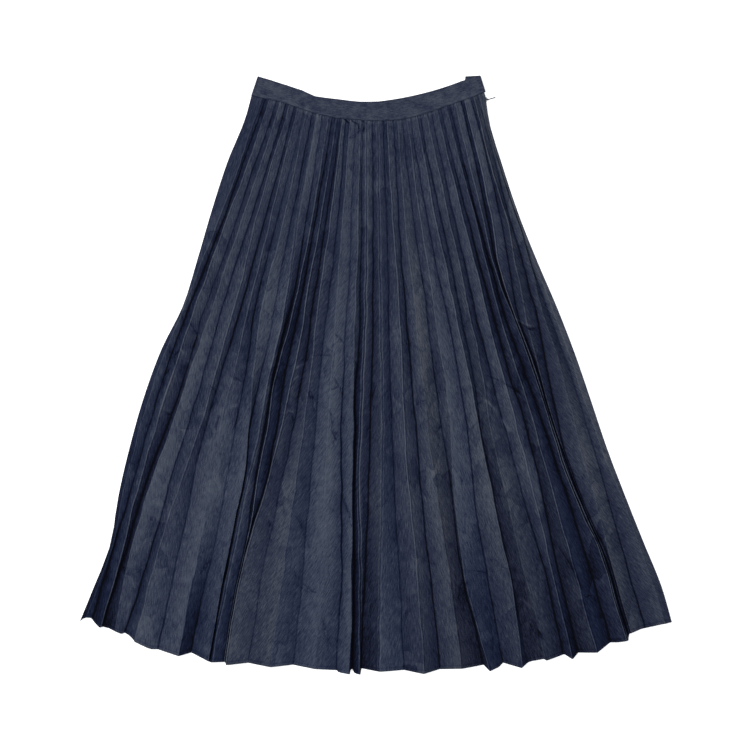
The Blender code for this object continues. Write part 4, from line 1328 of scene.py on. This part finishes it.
def lay_creases(places: np.ndarray) -> tuple[np.ndarray, np.ndarray]:
    """Works out what the creases do at each place.

    Each crease is a bell across its line, which may bow, and fades in and out along it. A
    raised one is drawn with a line half as strong as a trough's.

    Args:
        places: rows by columns of places in space.

    Returns:
        The added heights, and for the nearest crease the signed distance from its line, its
        strength, which is nothing away from it, and a spare zero.
    """
    added = np.zeros(places.shape[:-1])
    nearest, strength = np.full(added.shape, 1.0), np.zeros(added.shape)
    for c in CREASES:
        start, along = np.array([c.x0, c.y0]) * MM, np.array([c.x1 - c.x0, c.y1 - c.y0]) * MM
        length = np.hypot(*along)
        along = along / length
        offset = places[..., :2] - start
        t = (offset @ along) / length
        side = offset @ np.array([-along[1], along[0]]) - 4 * c.bow * MM * t * (1 - t)
        fade = np.clip(np.sin(np.pi * np.clip(t, 0, 1)), 0, None) ** 0.6
        added += CREASE_GAIN * c.height * MM * fade * bell(side, c.width * MM)
        closer = (np.abs(side) < np.abs(nearest)) & (t > -0.1) & (t < 1.1)
        nearest = np.where(closer, side, nearest)
        plain = c.height * (0.5 if c.height > 0 else 1.0)
        strength = np.where(closer, plain * fade * bell(side, CREASE_SPREAD), strength)
    return added, np.stack([nearest, strength, 0 * nearest], axis=-1)


@dataclass
class Panel:
    """One pleated panel as a closed shell: a fine upper side and a coarser under side.

    Attributes:
        name: the piece's name.
        node: the solid that it stands for.
        side: front or back.
        hem_short: how much shorter the back's hem is, so that it stays under the front's.
        creases: what lay_creases gives beside the heights.
    """

    name: str
    node: str
    side: Side
    hem_short: float = 2 * MM
    creases: np.ndarray = field(init=False)

    def surfaces(self, cloth: PleatedCloth) -> tuple[np.ndarray, np.ndarray, np.ndarray]:
        """Lays the cloth on the layer below it.

        The front has its creases and a wall of its own; the back is pressed to a share of its
        height, or follows the front's pleats from NEST_DROP below where that is higher.

        Args:
            cloth: the pleats.

        Returns:
            The panel's upper and under sides as grids of places, and its upper side's tone.
        """
        heights, degrees, radii, tone = cloth.heights, cloth.degrees, cloth.radii, cloth.tone
        if self.side is Side.FRONT:
            added, self.creases = lay_creases(fan_points(degrees, radii, heights))
            top = FRONT_TOP + heights + added
            low = FRONT_TOP + heights - FRONT_WALL
            # Painted shade in the creases' troughs and painted light on their ridges
            tone = tone + CREASE_TONE * np.clip(added / MM, -1.8, 1.0)
        else:
            self.creases = np.zeros((*heights.shape, 3))
            low = np.maximum(np.maximum(heights - NEST_DROP, PRESS_SHARE * (heights - PRESS_FOOT)), 0)
            top = low + CLOTH
            radii = radius_at(degrees, cloth.share, self.hem_short)
        upper = fan_points(degrees, radii, top)
        under = fan_points(degrees, radii, low)[::cloth.step]
        return upper, under, tone

    @staticmethod
    def shell(upper: np.ndarray, under: np.ndarray, step: int) -> list[np.ndarray]:
        """Joins the two sides and closes the four edges.

        Args:
            upper: the upper side's places, rows by columns.
            under: the under side's, with one row for each step of the upper.
            step: that number of rows.

        Returns:
            The faces, the upper side's first.
        """
        rows, columns = upper.shape[:2]
        top = np.arange(rows * columns).reshape(rows, columns)
        low = np.arange(len(under) * columns).reshape(len(under), columns) + rows * columns
        quads = np.stack([top[:-1, :-1], top[1:, :-1], top[1:, 1:], top[:-1, 1:]], axis=-1)
        under_quads = np.stack([low[:-1, :-1], low[:-1, 1:], low[1:, 1:], low[1:, :-1]], axis=-1)
        waist = np.stack([top[0, :-1], top[0, 1:], low[0, 1:], low[0, :-1]], axis=-1)
        hem = np.stack([top[-1, 1:], top[-1, :-1], low[-1, :-1], low[-1, 1:]], axis=-1)
        k = np.arange(len(under) - 1)[:, None]
        run = np.arange(step + 1)[None, :]
        left = np.hstack([top[k * step + run[:, ::-1], 0], low[k, 0], low[k + 1, 0]])
        right = np.hstack([top[k * step + run, -1], low[k + 1, -1], low[k, -1]])
        return [quads.reshape(-1, 4), under_quads.reshape(-1, 4), waist, hem, left, right]

    def build(self, cloth: PleatedCloth, material: bpy.types.Material) -> bpy.types.Object:
        """Makes the panel.

        Args:
            cloth: the pleats.
            material: its denim.

        Returns:
            The panel, riding on the skirt's body.
        """
        upper, under, tone = self.surfaces(cloth)
        points = np.vstack([upper.reshape(-1, 3), under.reshape(-1, 3)])
        faces = self.shell(upper, under, cloth.step)
        thing = put_mesh(self.name, points, faces, material)
        self.add_grain(thing, cloth, points, faces)
        for label, values in (
                ("tone", tone), ("dull", cloth.dull), ("to_hem", cloth.radii[-1:] - cloth.radii),
                ("fold", cloth.fold), ("lines", cloth.lines), ("crease", self.creases)):
            rest = values.shape[2:]
            add_values(thing, label, np.concatenate([values.reshape(-1, *rest),
                                                     values[::cloth.step].reshape(-1, *rest)]))
        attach(thing, SKIRT_BODY)
        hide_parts(self.node)
        triangles = sum(len(f) * (f.shape[1] - 2) for f in faces)
        LOG.info("%s: %d rows by %d, %d triangles", self.name, *upper.shape[:2], triangles)
        return thing

    def add_grain(self, thing: bpy.types.Object, cloth: PleatedCloth, points: np.ndarray,
                  faces: list[np.ndarray]) -> None:
        """Gives the cloth two UV maps.

        In "grain" V runs along the grain of each face, in metres; in "pleat" U is the angle round
        the fan's centre, in radians, and V the radius.

        Args:
            thing: the panel.
            cloth: the pleats.
            points: its places.
            faces: its faces, the upper side's first.
        """
        corners = np.concatenate([f.ravel() for f in faces])
        turn = np.zeros(len(corners))
        face_turn = np.radians(cloth.grain_degrees())[cloth.face_of[:-1]]
        upper = np.repeat(np.tile(face_turn, len(cloth.share) - 1), 4)
        turn[:len(upper)] = upper
        flat = points[corners, :2]
        add_map(thing, "grain", flat[:, 0] * np.cos(turn) - flat[:, 1] * np.sin(turn),
                flat[:, 0] * np.sin(turn) + flat[:, 1] * np.cos(turn))
        offset = flat - np.array(FAN_CENTRE)
        add_map(thing, "pleat", np.arctan2(offset[:, 0], -offset[:, 1]),
                np.hypot(offset[:, 0], offset[:, 1]))


@dataclass
class Waistband:
    """One half of the waistband: a pressed strip with rounded edges, along the arc.

    Attributes:
        name: the piece's name.
        node: the solid that it stands for.
        top: which column of the stations gives its top edge.
        ground: height of its under side.
        thickness: of the pressed layers.
        edge: how far its edges are rounded.
        stations: how many sections, besides those at the step in its closing end.
        step_angles: degrees of that step.
        across: points over its width.
        uneven: how far its upper side is from flat.
        mean_radius: metres for a radian along its middle.
        tone, dull: how light it looks, and how grey, a painted sheen.
        top_edge_tone: what its top edge adds to the tone, a dip, and how far that reaches.
        low_edge_tones: the same for a paler line and a darker one near its lower edge, and how far above
            it each lies.
    """

    name: str
    node: str
    top: str
    ground: float
    thickness: float = 2.4 * MM
    edge: float = 0.8 * MM
    stations: int = 260
    step_angles: tuple[float, ...] = (14.9, 15.0, 15.1, 15.2)
    across: int = 14
    uneven: float = 0.14 * MM
    mean_radius: float = 0.6
    tone: float = 0.59
    top_edge_tone: tuple[float, float] = (-0.10, 1.5 * MM)
    low_edge_tones: tuple[tuple[float, float, float], ...] = ((0.16, 1.2 * MM, 2 * MM), (-0.22, 0.9 * MM, 0.0))
    dull: float = 0.35

    def build(self, material: bpy.types.Material) -> bpy.types.Object:
        """Makes the strip: rings of points round the section, from one end to the other.

        Args:
            material: its denim.

        Returns:
            The strip, riding on the skirt's body.
        """
        angles = np.linspace(BAND[0].degrees, BAND[-1].degrees, self.stations)
        angles = np.union1d(angles, self.step_angles)
        top = np.interp(angles, column(BAND, "degrees"), column(BAND, self.top))
        bottom = band_bottom(angles)
        corner = np.linspace(0, math.pi / 2, 4)
        run = np.linspace(0, 1, self.across)[1:-1]
        inset, rise = self.edge * (1 - np.cos(corner)), self.edge * np.sin(corner)
        half = self.thickness / 2
        first, last = (top + self.edge)[:, None], (bottom - self.edge)[:, None]
        upper_r = np.hstack([top[:, None] + inset, first * (1 - run) + last * run,
                             bottom[:, None] - inset[::-1]])
        side_z = half - self.edge + rise
        upper_z = np.tile(np.concatenate([side_z, np.full(len(run), half), side_z[::-1]]),
                          (len(angles), 1))
        radii = np.hstack([upper_r, upper_r[:, ::-1]])
        soft = self.uneven * soft_noise(np.arange(len(angles)) / 12, upper_r.shape[1], 1, 31)
        heights = self.ground + half + np.hstack([upper_z + soft, -upper_z[:, ::-1]])
        points = fan_points(angles[:, None], radii, heights)
        stations, around = points.shape[:2]
        index = np.arange(stations * around).reshape(stations, around)
        after = np.roll(index, -1, axis=1)
        quads = np.stack([index[:-1], after[:-1], after[1:], index[1:]], axis=-1).reshape(-1, 4)
        faces = [quads, index[0][None, ::-1], index[-1][None, :]]
        thing = put_mesh(self.name, points.reshape(-1, 3), faces, material)
        self.dress(thing, angles, radii, faces)
        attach(thing, SKIRT_BODY)
        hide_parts(self.node)
        LOG.info("%s: %d sections", self.name, stations)
        return thing

    def dress(self, thing: bpy.types.Object, angles: np.ndarray, radii: np.ndarray,
              faces: list[np.ndarray]) -> None:
        """Gives the strip a UV map in metres whose V runs along it, and its tone.

        The tone dips a little at the top edge and more at the lower, with a paler line above that.

        Args:
            thing: the strip.
            angles: of its sections.
            radii: of its points, sections by points.
            faces: its faces.
        """
        corners = np.concatenate([f.ravel() for f in faces])
        along = (np.radians(angles)[:, None] * self.mean_radius + 0 * radii).ravel()[corners]
        add_map(thing, "grain", radii.ravel()[corners], along)
        from_top = radii - radii.min(axis=1, keepdims=True)
        from_low = radii.max(axis=1, keepdims=True) - radii
        gain, width = self.top_edge_tone
        wear_and_light = self.tone + gain * bell(from_top, width)
        for gain, width, up in self.low_edge_tones:
            wear_and_light = wear_and_light + gain * bell(from_low - up, width)
        add_values(thing, "tone", wear_and_light.ravel())
        add_values(thing, "dull", np.full(wear_and_light.size, self.dull))


class TabSection(NamedTuple):
    """A section of the pull tab: metres from the pin, and half its width and half its height."""

    out: float
    half_wide: float
    half_high: float


@dataclass(frozen=True)
class PullTab:
    """The zip's pull tab: an eye round the slider's pin, and a bar on edge with a rounded end.

    Attributes:
        name: the piece's name.
        pin: middle of the pin that it turns on.
        rest: degrees from +X at which it lies.
        hole, eye, eye_height: radius of the eye's hole and of the eye, and how high the eye is.
        round: how far the eye's edges are rounded.
        sections: the bar's sections, from the eye out.
        squareness: power of the curve round a section; two is an ellipse.
        around: points round a section.
    """

    name: str = "pull_tab"
    pin: tuple[float, float, float] = (178.497 * MM, 439.799 * MM, 2.8 * MM)
    rest: float = 15.5
    hole: float = 0.85 * MM
    eye: float = 1.55 * MM
    eye_height: float = 2.4 * MM
    round: float = 0.25 * MM
    sections: tuple[TabSection, ...] = (
        TabSection(1.15 * MM, 0.60 * MM, 0.95 * MM), TabSection(2.6 * MM, 0.75 * MM, 1.35 * MM),
        TabSection(5.0 * MM, 0.80 * MM, 1.75 * MM), TabSection(9.0 * MM, 0.85 * MM, 2.10 * MM),
        TabSection(11.4 * MM, 0.95 * MM, 2.15 * MM), TabSection(12.3 * MM, 0.80 * MM, 1.90 * MM),
        TabSection(12.7 * MM, 0.45 * MM, 1.40 * MM))
    squareness: float = 3.0
    around: int = 24

    def ring(self) -> np.ndarray:
        """Carries the eye's section, a rectangle with rounded corners, round the pin.

        Returns:
            Sections by points, about the pin.
        """
        high = self.eye_height / 2
        middle = (self.hole + self.eye) / 2
        section = []
        for radius, level, quarter in ((self.eye, high, 0), (self.eye, -high, 1),
                                       (self.hole, -high, 2), (self.hole, high, 3)):
            centre = (radius - math.copysign(self.round, radius - middle),
                      level - math.copysign(self.round, level))
            for angle in math.pi / 2 * (1 - quarter) - np.radians([0, 45, 90]):
                section.append((centre[0] + self.round * math.cos(angle),
                                centre[1] + self.round * math.sin(angle)))
        section = np.array(section)
        around = np.linspace(0, 2 * math.pi, self.around, endpoint=False)[:, None]
        return np.stack([section[:, 0] * np.cos(around), section[:, 0] * np.sin(around),
                         section[:, 1] + 0 * around], axis=-1)

    def bar(self) -> np.ndarray:
        """Carries a curve along +X that is squarer than an ellipse.

        Its points are the cosine and the sine, each to the power of two over the squareness.

        Returns:
            Sections by points, from the eye out.
        """
        turn = np.linspace(0, 2 * math.pi, self.around, endpoint=False)
        power = 2 / self.squareness
        side = np.sign(np.cos(turn)) * np.abs(np.cos(turn)) ** power
        up = np.sign(np.sin(turn)) * np.abs(np.sin(turn)) ** power
        return np.array([np.stack([0 * turn + s.out, s.half_wide * side, s.half_high * up], axis=-1)
                         for s in self.sections])

    def build(self, material: bpy.types.Material) -> bpy.types.Object:
        """Makes the tab in the way that it lies in the photograph.

        Args:
            material: its enamel.

        Returns:
            The tab, riding on its own body.
        """
        ring, bar = self.ring(), self.bar()
        index = np.arange(ring.shape[0] * ring.shape[1]).reshape(ring.shape[:2])
        next_ring, next_point = np.roll(index, -1, axis=0), np.roll(index, -1, axis=1)
        both = np.roll(next_ring, -1, axis=1)
        ring_quads = np.stack([index, next_point, both, next_ring], axis=-1).reshape(-1, 4)
        rows = np.arange(bar.shape[0] * bar.shape[1]).reshape(bar.shape[:2]) + index.size
        after = np.roll(rows, -1, axis=1)
        bar_quads = np.stack([rows[:-1], after[:-1], after[1:], rows[1:]], axis=-1).reshape(-1, 4)
        faces = [ring_quads, bar_quads, rows[0][None, ::-1], rows[-1][None, :]]
        points = np.vstack([ring.reshape(-1, 3), bar.reshape(-1, 3)])
        turn = math.radians(self.rest)
        x = points[:, 0] * math.cos(turn) - points[:, 1] * math.sin(turn) + self.pin[0]
        y = points[:, 0] * math.sin(turn) + points[:, 1] * math.cos(turn) + self.pin[1]
        places = np.stack([x, y, points[:, 2] + self.pin[2]], axis=-1)
        thing = put_mesh(self.name, places, faces, material)
        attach(thing, PULL_BODY)
        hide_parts("zip_pull")
        LOG.info("%s: %d points", self.name, len(places))
        return thing


@dataclass
class Studio:
    """Pale floor, soft light from the left and a camera straight above.

    Attributes:
        view_centre: what the camera looks at, on the floor.
        view_width: metres that the picture shows.
        lens, sensor: focal length, long so that the flat cloth keeps its shape, and the film's
            width, in millimetres.
        key_place, key_size, key_power: the light from the upper left.
        fill_place, fill_size, fill_power: the weaker one from below.
        sky, sky_strength: colour and strength of the light from all round.
        paper, paper_glow: colour of the floor, and its own light, which keeps it white.
    """

    view_centre: tuple[float, float] = (-0.00186, -0.00076)
    view_width: float = 1.2
    lens: float = 160.0
    sensor: float = 36.0
    key_place: tuple[float, float, float] = (-1.75, 0.95, 4.1)
    key_size: float = 2.0
    key_power: float = 156.0
    fill_place: tuple[float, float, float] = (1.4, -2.2, 3.6)
    fill_size: float = 2.5
    fill_power: float = 40.0
    sky: tuple[float, float, float, float] = (0.93, 0.96, 1.0, 1.0)
    sky_strength: float = 0.52
    paper: str = "#F6F6F6"
    paper_glow: float = 0.55

    def build(self) -> None:
        """Makes the floor, the lights, the world and the camera."""
        self.floor()
        self.light("key", self.key_place, self.key_size, self.key_power)
        self.light("fill", self.fill_place, self.fill_size, self.fill_power)
        world = bpy.data.worlds.new("studio")
        world.use_nodes = True
        background = world.node_tree.nodes["Background"]
        background.inputs["Color"].default_value = self.sky
        background.inputs["Strength"].default_value = self.sky_strength
        bpy.context.scene.world = world
        self.camera()
        bpy.context.scene.view_settings.view_transform = "Standard"

    def floor(self) -> None:
        """Lays matt paper just under the skirt: it throws back no shine and shows as clean white."""
        material, shader = new_material("pale_paper")
        shader.inputs["Base Color"].default_value = linear(self.paper)
        shader.inputs["Roughness"].default_value = 0.95
        shader.inputs["Emission Color"].default_value = linear("#FFFFFF")
        shader.inputs["Emission Strength"].default_value = self.paper_glow
        half, low = 6.0, -0.2 * MM
        points = np.array([(-half, -half, low), (half, -half, low), (half, half, low), (-half, half, low)])
        thing = put_mesh("floor", points, [np.array([[0, 1, 2, 3]])], material, smooth=False)

    def light(self, name: str, place: tuple[float, float, float], size: float, power: float) -> None:
        """Hangs a square soft light that looks at the skirt's middle.

        Args:
            name: the light's name.
            place: where it hangs.
            size: of its side, in metres.
            power: in watts.
        """
        lamp = bpy.data.lights.new(name, "AREA")
        lamp.energy, lamp.size = power, size
        thing = bpy.data.objects.new(name, lamp)
        bpy.context.scene.collection.objects.link(thing)
        thing.location = place
        x, y, z = place
        thing.rotation_euler = (math.atan2(math.hypot(x, y), z), 0, math.atan2(x, -y))

    def camera(self) -> None:
        """Puts a camera straight above, with the wearer's left to the right."""
        lens = bpy.data.cameras.new("camera")
        lens.lens, lens.sensor_width = self.lens, self.sensor
        distance = self.view_width * self.lens / self.sensor
        thing = bpy.data.objects.new("camera", lens)
        bpy.context.scene.collection.objects.link(thing)
        thing.location = (*self.view_centre, distance)
        lens.clip_end = 4 * distance
        bpy.context.scene.camera = thing


def main() -> None:
    """Builds the skirt piece by piece, then the studio."""
    logging.basicConfig(level=logging.INFO, format="%(name)s %(message)s")
    denim = DenimFinish("light_denim").build()
    # The band's weave shows across it, with larger clouds where the layers were pressed
    band_denim = DenimFinish("pressed_denim", slub_gain=0.6, slub_width=1.5 * MM, slub_length=9 * MM,
                             mottle=14 * MM, cloud=0.5, turning=False).build()
    cloth = PleatedCloth()
    back = Panel("back_cloth", "back_panel", Side.BACK).build(cloth, denim)
    front = Panel("front_cloth", "front_panel", Side.FRONT).build(cloth, denim)
    Waistband("band_front", "waistband_front", "top_front", 2.8 * MM).build(band_denim)
    Waistband("band_back", "waistband_back", "top_back", 0.0).build(band_denim)
    enamel = ZipFinish().apply()
    PullTab().build(enamel)
    Studio().build()
    LOG.info("sizes written")


if __name__ == "__main__":
    main()
